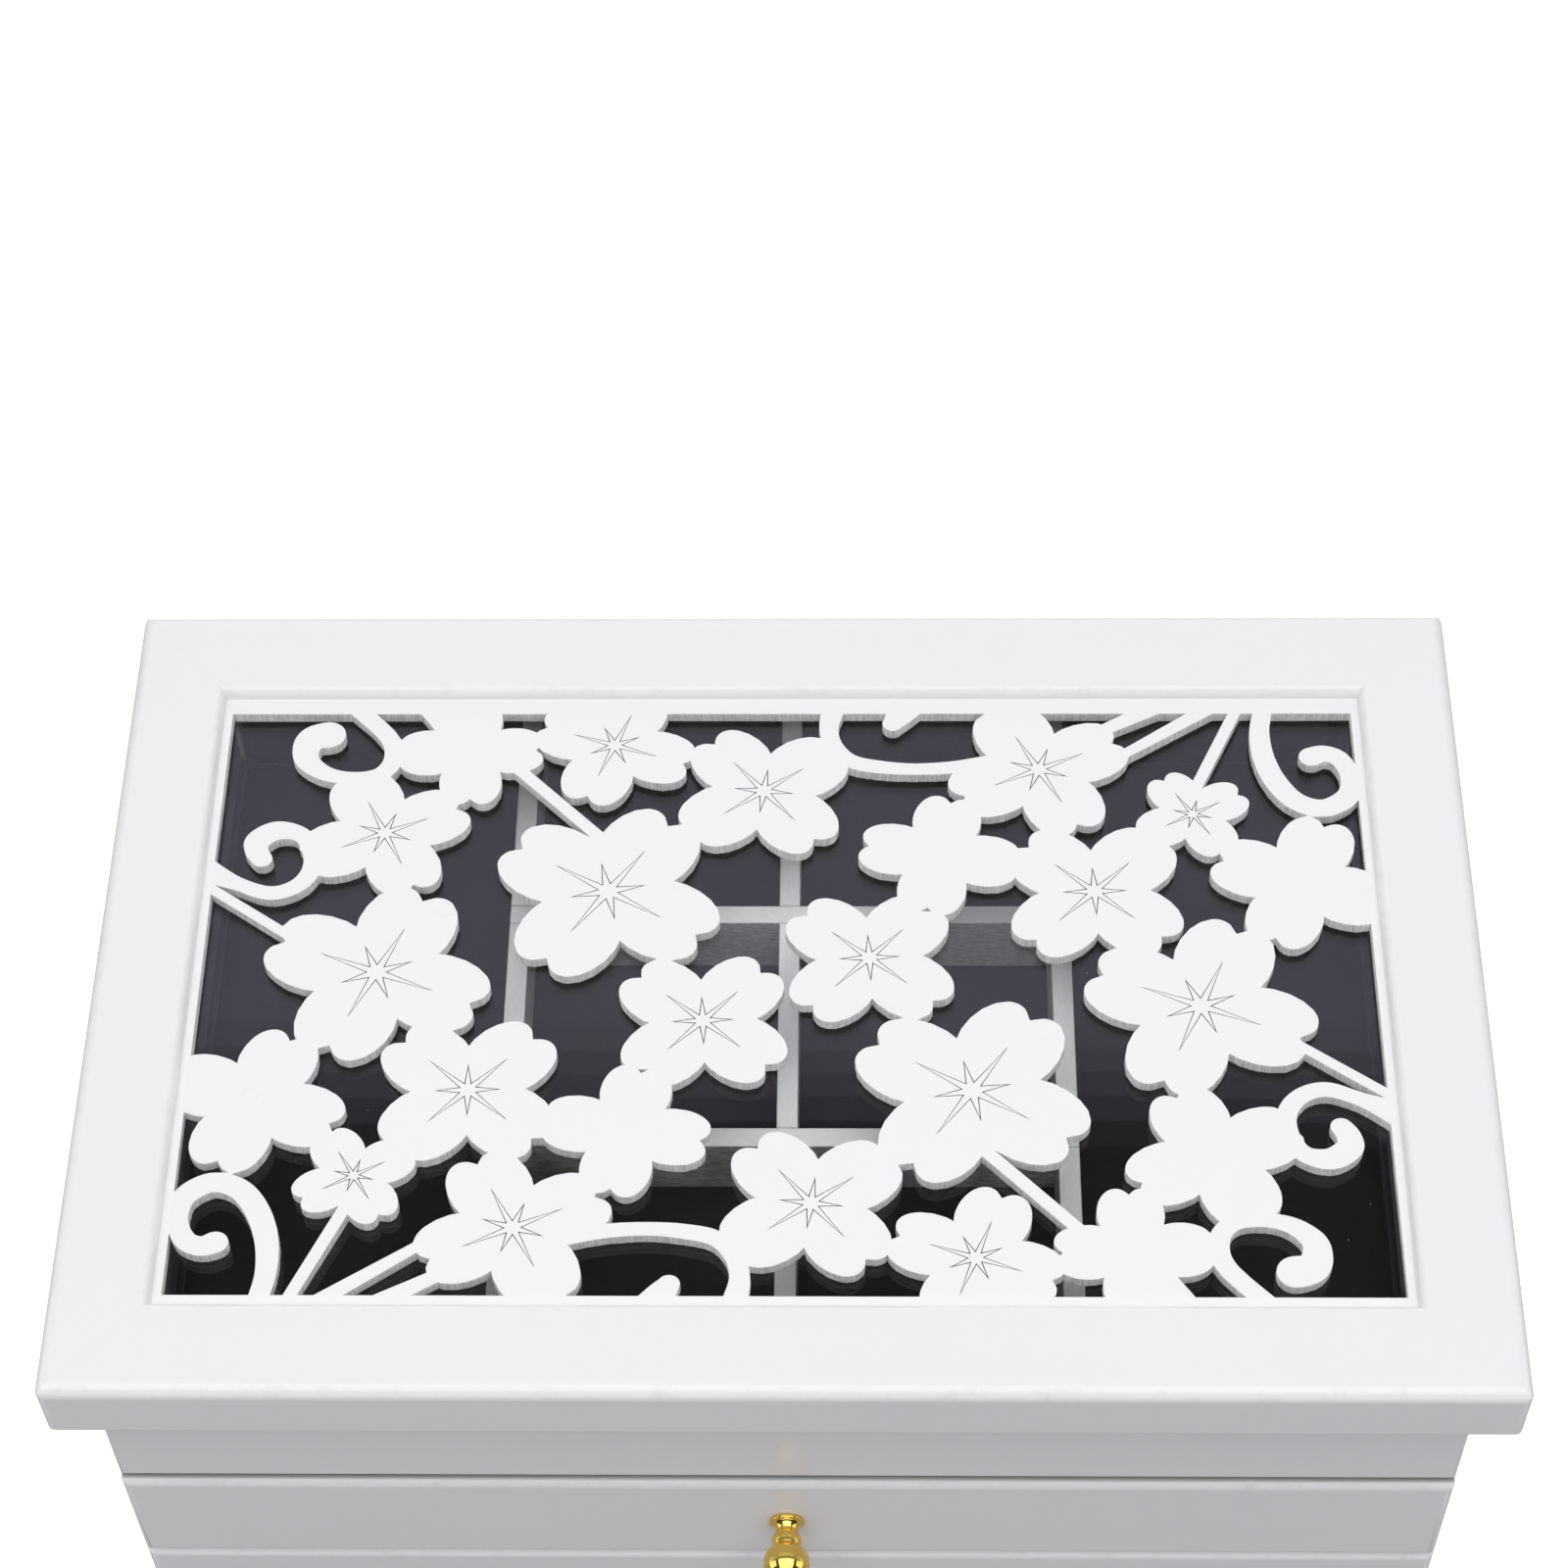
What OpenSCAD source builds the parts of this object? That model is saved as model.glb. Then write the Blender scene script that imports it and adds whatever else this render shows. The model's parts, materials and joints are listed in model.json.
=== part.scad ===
// Jewellery chest: a lid with a flower fretwork panel over glass, a divided tray under it, and four drawers.
// The frame stands on the table at z = 0, its front towards -y, and its whole box is centred on x = y = 0.

/* [Lid] */
// Width of the lid
lid_w = 320; // [250:1:400]
// Depth of the lid
lid_d = 212; // [170:1:280]
// Thickness of the lid's rails
lid_t = 18; // [16:0.5:26]
// Rounding of the lid's upper edge
lid_round = 3; // [1:0.5:5]
// Rounding of the lid's lower edge
lid_under_round = 1; // [0.5:0.25:2]
// Rounding of the lid's corners, seen from above
corner_round = 2.5; // [1:0.5:6]
// Width of the front and side rails, out to the foot of their inner rounding
rail_w = 22.5; // [20:0.5:34]
// Width of the back rail, out to the foot of its inner rounding
back_rail_w = 24; // [20:0.5:34]
// Width of the rounding at the rails' inner edge
bevel_w = 2; // [1:0.25:4]
// Depth of the fretwork below the top of the lid
bevel_drop = 3; // [2:0.25:5]
// Height of the square edge at the foot of the rounding
bevel_land = 0.3; // [0.2:0.1:1]
// Width of the seat under the rails for fretwork and glass
seat_w = 6; // [3:0.5:9]

/* [Fretwork and glass] */
// Thickness of the fretwork panel
fret_t = 3; // [2:0.25:5]
// Plain border of the fretwork that shows at the left and right
fret_border = 2; // [1:0.25:6]
// Plain border of the fretwork that shows at the front
fret_border_front = 3; // [1:0.25:6]
// Plain border of the fretwork that shows at the back
fret_border_back = 4.5; // [1:0.25:6]
// Thickness of the glass
glass_t = 2; // [1.5:0.25:4]
// Width of the glazing beads
bead_w = 4.5; // [2:0.5:6]
// Height of the glazing beads
bead_h = 5; // [2:0.5:6]

/* [Case] */
// How far the lid stands out past the case at the front and the sides
overhang = 8.5; // [4:0.5:14]
// Thickness of the case sides and back
wall_t = 9; // [7:0.5:14]
// Height of the fixed front band under the lid
band_h = 40; // [36:1:60]
// Thickness of the front band
band_t = 9; // [7:0.5:12]
// Thickness of the shelves and the tray floor
shelf_t = 3; // [2:0.5:5]
// Depth of the grooves that hold the shelves
groove_d = 4; // [2:0.5:6]

/* [Tray] */
// Depth of the tray below the rim of the case
tray_depth = 30; // [26:1:34]
// Thickness of the velvet
velvet_t = 1; // [0.5:0.25:2]
// Distance from the rim of the case down to the top of the tray's velvet walls
velvet_below_rim = 4; // [2:1:16]
// Thickness of the tray dividers
divider_t = 5; // [3:0.5:8]
// Height of the tray dividers
divider_h = 19; // [10:1:22]
// Distance of the two long dividers from the middle
long_divider_x = 65; // [40:1:90]

/* [Drawers] */
// Height of a drawer front
face_h = 37; // [34:1:60]
// Thickness of a drawer front
face_t = 10.5; // [8:0.5:16]
// Rounding of a drawer front's edges
face_round = 2.2; // [0.5:0.1:4]
// Gap above and below each drawer front
face_gap = 1; // [0.5:0.1:2]
// Gap between a closed drawer front and the case
closing_gap = 0.2; // [0.1:0.05:0.5]
// Height of a drawer's sides
box_h = 31; // [20:1:33]
// Thickness of a drawer's sides and back
box_wall = 6; // [4:0.5:9]
// Thickness of a drawer's bottom
box_bottom = 3; // [2:0.5:4]
// Height of the drawer bottom above the drawer's lower edge
bottom_lift = 2; // [1:0.5:4]
// Depth of the groove that holds the drawer bottom
bottom_groove = 3; // [1.5:0.5:3.5]
// Gap at each side of a drawer
side_play = 0.8; // [0.4:0.1:2]
// Gap under a drawer
under_play = 0.2; // [0.1:0.05:0.5]
// Gap behind a closed drawer
back_play = 2; // [1:0.5:6]

/* [Knob] */
// Radius of the knob's ball
ball_r = 5.35; // [4:0.05:8]
// Distance of the ball's centre from the drawer front
ball_out = 10.9; // [10:0.1:16]
// Radius of the knob's foot
knob_foot_r = 4.05; // [3:0.05:6]
// Radius of the knob's bead
knob_bead_r = 3.5; // [3:0.05:5]
// Radius of the knob's waist
knob_waist_r = 2.65; // [2:0.05:3]
// Radius of the knob's stud
stud_r = 1.6; // [1:0.1:2]
// Length of the knob's stud in the wood
stud_l = 7; // [4:0.5:7.5]

/* [Base] */
// Thickness of the base board
base_t = 12; // [8:0.5:20]
// How far the base board stands out past the case
base_out = 5; // [2:0.5:12]
// Rounding of the base board's upper edge
base_round = 4; // [1:0.5:6]
// Height of the feet
foot_h = 12; // [6:1:30]
// Radius of the feet at their widest
foot_r = 13; // [9:0.5:18]
// Radius of the tenon that holds a foot
tenon_r = 4; // [3:0.5:6]
// Length of the tenon that holds a foot
tenon_l = 8; // [4:0.5:8]
// Distance of a foot's centre from the edges of the base board
foot_inset = 20; // [16:1:40]

/* [Hinges] */
// Distance of each hinge from the middle
hinge_x = 95; // [60:1:100]
// Length of a hinge
hinge_l = 34; // [24:1:40]
// Width of a hinge leaf, in from the back of the chest
leaf_w = 8; // [5:0.5:8.5]
// Thickness of a hinge leaf
leaf_t = 1; // [0.8:0.1:1.5]
// Radius of the hinge knuckle
knuckle_r = 2.2; // [1.8:0.1:3]
// Radius of the hinge pin
pin_r = 1; // [0.8:0.1:1.2]
// Running clearance round the pin in the lid's knuckle
pin_clear = 0.05; // [0.02:0.01:0.1]
// Gap between knuckles, and between knuckle and wood
knuckle_gap = 0.3; // [0.2:0.05:0.5]
// Radius of a hinge screw's shank
screw_r = 0.9; // [0.7:0.1:1.2]
// Length of a hinge screw
screw_l = 8; // [5:0.5:10]

/* [Hidden] */
$fn = 48;
DRAWERS = 4;

// Depths, from the front of the lid at 0 to the knuckle behind the case, moved so that the box is centred.
case_front = overhang;
face_front = case_front + band_t - closing_gap - face_t;
pin_back = lid_d + knuckle_gap + knuckle_r;
reach_front = min(face_front - ball_out - ball_r, 0);
y0 = -(reach_front + pin_back + knuckle_r) / 2;
y_lid = y0;
y_case = y0 + case_front;
y_inner = y_case + band_t;
y_face = y0 + face_front;
y_back = y0 + lid_d;
y_wall = y_back - wall_t;
y_pin = y0 + pin_back;
y_lid_mid = y0 + lid_d / 2;

case_w = lid_w - 2 * overhang;
inner_w = case_w - 2 * wall_t;
inner_d = y_wall - y_inner;

// Heights
z_base = foot_h;
z_case = z_base + base_t;
pitch = face_h + face_gap;
z_band = z_case + face_gap + DRAWERS * pitch;
z_rim = z_band + band_h;
z_top = z_rim + lid_t;
z_fret = z_top - bevel_drop - fret_t;
z_glass = z_fret - glass_t;
z_tray = z_rim - tray_depth;
velvet_wall_h = tray_depth - velvet_below_rim;
function face_z(k) = z_case + face_gap + (DRAWERS - k) * pitch;
function shelf_top(k) = face_z(k) + shelf_t;
function box_z(k) = shelf_top(k) + under_play;

// Drawer box
box_w = inner_w - 2 * side_play;
y_box = y_face + face_t;
box_d = y_wall - back_play - y_box;

// Lid opening and what seats in it
open_w = lid_w - 2 * rail_w;
open_d = lid_d - rail_w - back_rail_w;
y_open_mid = y_lid_mid + (rail_w - back_rail_w) / 2;
pane_w = open_w + 2 * seat_w;
pane_d = open_d + 2 * seat_w;
fret_w = open_w - 2 * fret_border;
fret_d = open_d - fret_border_front - fret_border_back;
fret_shift = (fret_border_front - fret_border_back) / 2;

// Tray dividers stand on the velvet, the cross dividers a third of the way from the front and from the back.
z_divider = z_tray + velvet_t;
cross_y = [for (third = [1, 2]) y_inner + inner_d * third / 3];
long_w = inner_d - 2 * velvet_t;

WHITE = [0.93, 0.93, 0.93];
DARK = [0.16, 0.15, 0.18];
BRASS = [0.85, 0.66, 0.25];

// The fretwork's flowers and scrolls are drawn on a field of this size and stretched to the lid's opening.
FIELD = [270, 175];
// Half of the flowers, as [x, y, radius, turn]. The other half is the same, turned round the middle.
BLOSSOMS = [
    [-42, 30, 27.6, 57], [71.5, 30, 22.8, 47], [19, 9.5, 21.6, 48], [-6, 62, 21.8, 38],
    [-94.5, 5, 26.6, 67], [-95.5, 48.5, 20.3, 25], [-42, 77, 19.6, 70], [-76.5, 75, 17.4, 2],
    [59.5, 69, 22, 26], [35.5, 41.5, 18.8, 80], [95.5, 54.5, 14, 30], [119.5, 33, 20.8, 69]
];
// Half of the scrolls, as points along the middle with the width there, each ending in a ball as wide
SCROLLS = [
    [[-109, 93.5, 4.5], [-97.2, 80.6, 4.6], [-95, 73, 4.8], [-98, 67.6, 4.4], [-104.5, 66.4, 3.9],
     [-111, 67.8, 4.6], [-115.7, 72, 5.8], [-116.2, 76.6, 6.9], [-114.6, 79.6, 8], [-111.4, 80.6, 8.6]],
    [[-138, 37, 8], [-129.5, 32.6, 4.2], [-121.5, 29.5, 4.3], [-115.4, 31.5, 4.4], [-112.1, 36.6, 4.6],
     [-112.4, 43, 4.6], [-115.4, 48, 4.6], [-121, 49.3, 6], [-125.3, 46.3, 6.2], [-125.4, 42.8, 5.6],
     [-124, 40.2, 5]],
    [[114, 88.6, 4.5], [112.8, 81.5, 4.8], [113.3, 73, 5.3], [115.8, 65, 5.6], [120.3, 58.6, 5.6],
     [126.7, 56.5, 5.6], [132.6, 60.5, 5.5], [133.5, 67, 4.8], [131.4, 72.4, 5], [127.8, 74.2, 5.4],
     [124.7, 73.2, 6]],
    [[10.3, 88.6, 5.6], [9.4, 82.5, 4.6], [10.7, 76.5, 4.6], [14.8, 71.8, 4.4], [21.7, 69.9, 4.2],
     [29.8, 69.2, 3.8], [39, 69.8, 4], [47, 71.6, 4]],
    [[28, 90, 8.6], [26.2, 86.6, 6.6], [24.8, 84.3, 5]]
];
// Half of the straight stems, as two points with the width at each; some start beyond the border, which cuts them
STEMS = [
    [[-142, 36, 2.7], [-112, 13.5, 2.7]], [[-67, 71.6, 3.2], [-43.5, 46, 3.2]],
    [[-92, 97, 6], [-78, 76, 6]], [[109.6, 93.5, 2.9], [96, 61.5, 2.9]],
    [[106.2, 93, 4.2], [78, 72.6, 2.7]], [[94, 93, 5], [66, 76.6, 2.7]]
];

// Points on an arc, from angle a0 to a1
function arc(cx, cy, r, a0, a1, n = 6) =
    [for (i = [0:n]) let (a = a0 + (a1 - a0) * i / n) [cx + r * cos(a), cy + r * sin(a)]];

// Outline of a rectangle with round corners, centred
function round_rect(w, d, r) = concat(
    arc(w / 2 - r, d / 2 - r, r, 0, 90), arc(r - w / 2, d / 2 - r, r, 90, 180),
    arc(r - w / 2, r - d / 2, r, 180, 270), arc(w / 2 - r, r - d / 2, r, 270, 360)
);

// A point at share t of the way from p[i] to p[i + 1] on a smooth curve through all of p
function on_curve(p, i, t) =
    let (a = p[max(i - 1, 0)], b = p[i], c = p[i + 1], d = p[min(i + 2, len(p) - 1)])
    0.5 * (2 * b + (c - a) * t + (2 * a - 5 * b + 4 * c - d) * t * t + (3 * b - a - 3 * c + d) * t * t * t);
function curve_through(p, n = 4) =
    [for (i = [0:len(p) - 2], k = [0:n - 1]) on_curve(p, i, k / n), p[len(p) - 1]];
// The edge of a ribbon along a run of [x, y, width]; hand is 1 for its left edge and -1 for its right
function ribbon_edge(run, hand) = [
    for (i = [0:len(run) - 1])
        let (a = run[max(i - 1, 0)], b = run[min(i + 1, len(run) - 1)], step = [b[0] - a[0], b[1] - a[1]])
        [run[i][0], run[i][1]] + hand * run[i][2] / 2 * [-step[1], step[0]] / norm(step)
];

module ribbon(run) {
    left = ribbon_edge(run, 1);
    right = ribbon_edge(run, -1);
    for (i = [0:len(run) - 2]) polygon([left[i], left[i + 1], right[i + 1], right[i]]);
}

// A blossom of four heart-shaped petals, each of two leaning ellipses, round a disc
module blossom(b) {
    r = b[2];
    translate([b[0], b[1]]) rotate(b[3]) {
        circle(r = 0.42 * r, $fn = 16);
        for (turn = [0:90:270], hand = [-1, 1])
            rotate(turn) translate([0.58 * r, 0.17 * r * hand]) scale([0.415 * r, 0.26 * r]) circle(r = 1, $fn = 18);
    }
}

module half_pattern() {
    for (b = BLOSSOMS) blossom(b);
    for (stem = STEMS) ribbon(stem);
    for (scroll = SCROLLS) {
        tip = scroll[len(scroll) - 1];
        ribbon(curve_through(scroll));
        translate([tip[0], tip[1]]) circle(d = tip[2], $fn = 16);
    }
}

// The panel seen from above: the border, and the pattern where the opening is, with slits under 0.8 mm closed
module fretwork_outline() {
    offset(delta = -0.4) offset(delta = 0.4) {
        difference() {
            square([pane_w, pane_d], center = true);
            translate([0, fret_shift]) square([fret_w, fret_d], center = true);
        }
        translate([0, fret_shift]) intersection() {
            square([fret_w + 1, fret_d + 1], center = true);
            scale([fret_w / FIELD[0], fret_d / FIELD[1]]) for (turn = [0, 180]) rotate(turn) half_pattern();
        }
    }
}

// Section of a lid rail of width w: x from its outer edge inwards, y up from its underside
module rail_section(w) {
    foot = lid_t - bevel_drop;
    inner_round = [for (p = arc(0, 0, 1, 90, 0, 8)) [w - bevel_w + bevel_w * p[0],
        foot + bevel_land + (bevel_drop - bevel_land) * p[1]]];
    polygon(concat(
        arc(lid_under_round, lid_under_round, lid_under_round, 270, 180, 4),
        arc(lid_round, lid_t - lid_round, lid_round, 180, 90),
        inner_round, [[w, foot], [w - seat_w, foot], [w - seat_w, 0]]
    ));
}

// A rail of the lid, turned to its side: 0 front, 90 right, 180 back, 270 left; its ends are mitred
module lid_rail(turn, w) {
    across = turn % 180 == 0;
    run = across ? lid_w : lid_d;
    out = across ? lid_d / 2 : lid_w / 2;
    left = turn == 270 ? back_rail_w : rail_w;
    right = turn == 90 ? back_rail_w : rail_w;
    translate([0, y_lid_mid, z_rim]) intersection() {
        rotate(turn) translate([-run / 2, -out, 0]) rotate([90, 0, 90]) linear_extrude(run) rail_section(w);
        rotate(turn) linear_extrude(lid_t)
            polygon([[-run / 2, -out], [run / 2, -out], [run / 2 - right, w - out], [left - run / 2, w - out]]);
        linear_extrude(lid_t) polygon(round_rect(lid_w, lid_d, corner_round));
    }
}

module lid_front_rail() { color(WHITE) lid_rail(0, rail_w); }
module lid_right_rail() { color(WHITE) lid_rail(90, rail_w); }
module lid_left_rail() { color(WHITE) lid_rail(270, rail_w); }
module lid_back_rail() {
    color(WHITE) difference() {
        lid_rail(180, back_rail_w);
        for (hand = [-1, 1]) leaf_recess(hand, z_rim);
        lid_screws();
    }
}

module fretwork_panel() {
    color(WHITE) translate([0, y_open_mid, z_fret]) linear_extrude(fret_t) fretwork_outline();
}

module glass_pane() {
    color([0.75, 0.82, 0.85, 0.35]) translate([-pane_w / 2, y_open_mid - pane_d / 2, z_glass])
        cube([pane_w, pane_d, glass_t]);
}

// Four strips pinned round the seat, under the glass; the short ones fit between the long ones
module glazing_beads() {
    short = pane_d - 2 * bead_w - 2 * knuckle_gap;
    color(WHITE) translate([0, y_open_mid, z_glass - bead_h]) {
        for (hand = [-1, 1]) {
            translate([-pane_w / 2, hand * (pane_d - bead_w) / 2 - bead_w / 2, 0]) cube([pane_w, bead_w, bead_h]);
            translate([hand * (pane_w - bead_w) / 2 - bead_w / 2, -short / 2, 0]) cube([bead_w, short, bead_h]);
        }
    }
}

// Hinges: the case leaf holds the pin in its two outer knuckles, the lid leaf turns on it with the middle one.
knuckle_l = (hinge_l - 2 * knuckle_gap) / 3;
module knuckle(x, length) {
    translate([x, y_pin, z_rim]) rotate([0, 90, 0]) cylinder(r = knuckle_r, h = length);
}
module knuckle_bore(hand, r) {
    translate([hand * hinge_x - hinge_l, y_pin, z_rim]) rotate([0, 90, 0]) cylinder(r = r, h = 2 * hinge_l);
}
module leaf_recess(hand, z) {
    translate([hand * hinge_x - hinge_l / 2, y_back - leaf_w, z]) cube([hinge_l, leaf_w + 1, leaf_t]);
}
// One countersunk screw, point down, its head flush with z = 0
module screw() {
    translate([0, 0, -screw_l]) cylinder(r = screw_r, h = screw_l);
    translate([0, 0, -leaf_t]) cylinder(r1 = screw_r, r2 = screw_r + leaf_t, h = leaf_t);
}
module screw_places(z, turn) {
    for (hand = [-1, 1], side = [-1, 1])
        translate([hand * hinge_x + side * hinge_l / 3, y_back - leaf_w / 2, z]) rotate([turn, 0, 0]) children();
}
module lid_screws() { screw_places(z_rim, 180) screw(); }
module case_screws() { screw_places(z_rim, 0) screw(); }

module lid_leaf(hand) {
    x = hand * hinge_x - knuckle_l / 2;
    color(BRASS) difference() {
        union() {
            translate([hand * hinge_x - hinge_l / 2, y_back - leaf_w, z_rim]) cube([hinge_l, leaf_w, leaf_t]);
            translate([x, y_back - 1, z_rim]) cube([knuckle_l, y_pin - y_back + 1, leaf_t]);
            knuckle(x, knuckle_l);
        }
        knuckle_bore(hand, pin_r + pin_clear);
        lid_screws();
    }
}

module case_leaf(hand) {
    color(BRASS) difference() {
        union() {
            translate([hand * hinge_x - hinge_l / 2, y_back - leaf_w, z_rim - leaf_t])
                cube([hinge_l, leaf_w, leaf_t]);
            for (x = [-hinge_l / 2, hinge_l / 2 - knuckle_l]) {
                translate([hand * hinge_x + x, y_back - 1, z_rim - leaf_t]) cube([knuckle_l, y_pin - y_back + 1, leaf_t]);
                knuckle(hand * hinge_x + x, knuckle_l);
            }
        }
        knuckle_bore(hand, pin_r);
        case_screws();
    }
}

module lid_leaf_left() { lid_leaf(-1); }
module lid_leaf_right() { lid_leaf(1); }
module case_leaf_left() { case_leaf(-1); }
module case_leaf_right() { case_leaf(1); }
module lid_hinge_screws() { color(BRASS) lid_screws(); }
module case_hinge_screws() { color(BRASS) case_screws(); }
module hinge_pins() {
    color(BRASS) for (hand = [-1, 1])
        translate([hand * hinge_x - hinge_l / 2, y_pin, z_rim]) rotate([0, 90, 0]) cylinder(r = pin_r, h = hinge_l);
}

// Shelves and the tray floor reach into grooves in the sides.
module shelf_board(z) {
    translate([-inner_w / 2 - groove_d, y_inner, z]) cube([inner_w + 2 * groove_d, inner_d, shelf_t]);
}
module all_shelves() {
    shelf_board(z_tray - shelf_t);
    for (k = [1:DRAWERS]) shelf_board(face_z(k));
}

module case_side(hand) {
    color(WHITE) difference() {
        translate([hand * (case_w - wall_t) / 2 - wall_t / 2, y_inner, z_case])
            cube([wall_t, y_back - y_inner, z_rim - z_case]);
        all_shelves();
    }
}
module case_side_left() { case_side(-1); }
module case_side_right() { case_side(1); }

module back_panel() {
    color(WHITE) difference() {
        translate([-inner_w / 2, y_wall, z_case]) cube([inner_w, wall_t, z_rim - z_case]);
        for (hand = [-1, 1]) leaf_recess(hand, z_rim - leaf_t);
        case_screws();
    }
}

// A board standing on edge with its four front edges rounded: x centred, front at y = 0
module rounded_face(w, t, h, r) {
    intersection() {
        translate([-w / 2, 0, 0]) rotate([90, 0, 90]) linear_extrude(w)
            polygon(concat(arc(r, r, r, 270, 180), arc(r, h - r, r, 180, 90), [[t, h], [t, 0]]));
        linear_extrude(h)
            polygon(concat(arc(r - w / 2, r, r, 180, 270), arc(w / 2 - r, r, r, 270, 360), [[w / 2, t], [-w / 2, t]]));
    }
}

module front_band() {
    color(WHITE) translate([0, y_case, z_band]) rounded_face(case_w, band_t, band_h, face_round / 2);
}

module tray_floor() { color(DARK) shelf_board(z_tray - shelf_t); }
module shelf(k) { color(WHITE) shelf_board(face_z(k)); }

// Velvet on the floor and the four walls of the tray
module tray_lining() {
    color(DARK) difference() {
        translate([-inner_w / 2, y_inner, z_tray]) cube([inner_w, inner_d, velvet_wall_h]);
        translate([velvet_t - inner_w / 2, y_inner + velvet_t, z_tray + velvet_t])
            cube([inner_w - 2 * velvet_t, long_w, velvet_wall_h]);
    }
}

// The dividers are halved into each other: the long ones are notched from above, the cross ones from below.
module long_divider(x) {
    color(WHITE) difference() {
        translate([x - divider_t / 2, y_inner + velvet_t, z_divider]) cube([divider_t, long_w, divider_h]);
        for (y = cross_y) translate([x - divider_t, y - divider_t / 2, z_divider + divider_h / 2])
            cube([2 * divider_t, divider_t, divider_h]);
    }
}
module cross_divider(y) {
    span = 2 * long_divider_x + divider_t;
    color(WHITE) difference() {
        translate([-span / 2, y - divider_t / 2, z_divider]) cube([span, divider_t, divider_h]);
        for (x = [-long_divider_x, 0, long_divider_x]) translate([x - divider_t / 2, y - divider_t, z_divider - 1])
            cube([divider_t, 2 * divider_t, divider_h / 2 + 1]);
    }
}
module divider_left() { long_divider(-long_divider_x); }
module divider_centre() { long_divider(0); }
module divider_right() { long_divider(long_divider_x); }
module divider_front() { cross_divider(cross_y[0]); }
module divider_back() { cross_divider(cross_y[1]); }

// Drawers
module drawer_bottom_board(k) {
    translate([bottom_groove - box_w / 2, y_box - bottom_groove, box_z(k) + bottom_lift])
        cube([box_w - 2 * bottom_groove, box_d + bottom_groove - box_wall + bottom_groove, box_bottom]);
}
function knob_z(k) = face_z(k) + face_h / 2;
module drawer_front(k) {
    color(WHITE) difference() {
        translate([0, y_face, face_z(k)]) rounded_face(case_w, face_t, face_h, face_round);
        drawer_bottom_board(k);
        translate([0, y_face - 1, knob_z(k)]) rotate([-90, 0, 0]) cylinder(r = stud_r, h = stud_l + 1);
    }
}
module drawer_side(k, hand) {
    color(WHITE) difference() {
        translate([hand * (box_w - box_wall) / 2 - box_wall / 2, y_box, box_z(k)]) cube([box_wall, box_d, box_h]);
        drawer_bottom_board(k);
    }
}
module drawer_back(k) {
    color(WHITE) difference() {
        translate([box_wall - box_w / 2, y_box + box_d - box_wall, box_z(k)])
            cube([box_w - 2 * box_wall, box_wall, box_h]);
        drawer_bottom_board(k);
    }
}
module drawer_bottom(k) { color(WHITE) drawer_bottom_board(k); }
module drawer_lining(k) {
    color(DARK) translate([box_wall - box_w / 2, y_box, box_z(k) + bottom_lift + box_bottom])
        cube([box_w - 2 * box_wall, box_d - box_wall, velvet_t]);
}

// A turned knob on its stud: a round foot, a waist that swells to a bead, and a ball, out along z
module knob_turning() {
    crease_r = 0.94 * knob_bead_r;
    crease_out = ball_out - sqrt(ball_r * ball_r - crease_r * crease_r);
    neck = [[knob_foot_r, 0.09], [0.5 * (knob_foot_r + knob_waist_r), 0.25], [knob_waist_r, 0.42],
        [0.45 * knob_waist_r + 0.55 * knob_bead_r, 0.65], [knob_bead_r, 0.85], [crease_r, 1]];
    rotate_extrude() polygon(concat(
        [[0, -stud_l], [stud_r, -stud_l], [stud_r, 0], [knob_foot_r - 0.3, 0]],
        [for (p = curve_through(neck)) [p[0], p[1] * crease_out]],
        arc(0, ball_out, ball_r, 3 - acos(crease_r / ball_r), 90, 18)
    ));
}
module drawer_knob(k) {
    color(BRASS) translate([0, y_face, knob_z(k)]) rotate([90, 0, 0]) knob_turning();
}

// Base board, with its upper edge rounded on three sides and its back flush with the case
base_w = case_w + 2 * base_out;
base_d = y_back - y_case + base_out;
foot_x = base_w / 2 - foot_inset;
foot_y = [y_case - base_out + foot_inset, y_back - foot_inset];
module tenons() {
    for (x = [-foot_x, foot_x], y = foot_y) translate([x, y, z_base]) cylinder(r = tenon_r, h = tenon_l);
}
module base_board() {
    r = base_round;
    color(WHITE) difference() {
        intersection() {
            translate([-base_w / 2, y_case - base_out, z_base]) rotate([90, 0, 90]) linear_extrude(base_w)
                polygon(concat([[base_d, 0], [0, 0]], arc(r, base_t - r, r, 180, 90), [[base_d, base_t]]));
            translate([0, y_back, z_base]) rotate([90, 0, 0]) linear_extrude(base_d)
                polygon(concat([[base_w / 2, 0]], arc(base_w / 2 - r, base_t - r, r, 0, 90),
                    arc(r - base_w / 2, base_t - r, r, 90, 180), [[-base_w / 2, 0]]));
        }
        tenons();
    }
}
// Four turned bun feet, each with its tenon
module feet() {
    flat_r = foot_r - foot_h / 4;
    color(WHITE) {
        for (x = [-foot_x, foot_x], y = foot_y) translate([x, y, 0])
            rotate_extrude() polygon(concat(
                [[0, 0], [flat_r, 0]], arc(flat_r, foot_h * 0.45, foot_h * 0.25, -60, 60, 8),
                [[flat_r - 1, foot_h * 0.85], [flat_r - 1, foot_h], [tenon_r, foot_h]],
                [[tenon_r, foot_h + tenon_l], [0, foot_h + tenon_l]]
            ));
    }
}

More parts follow.
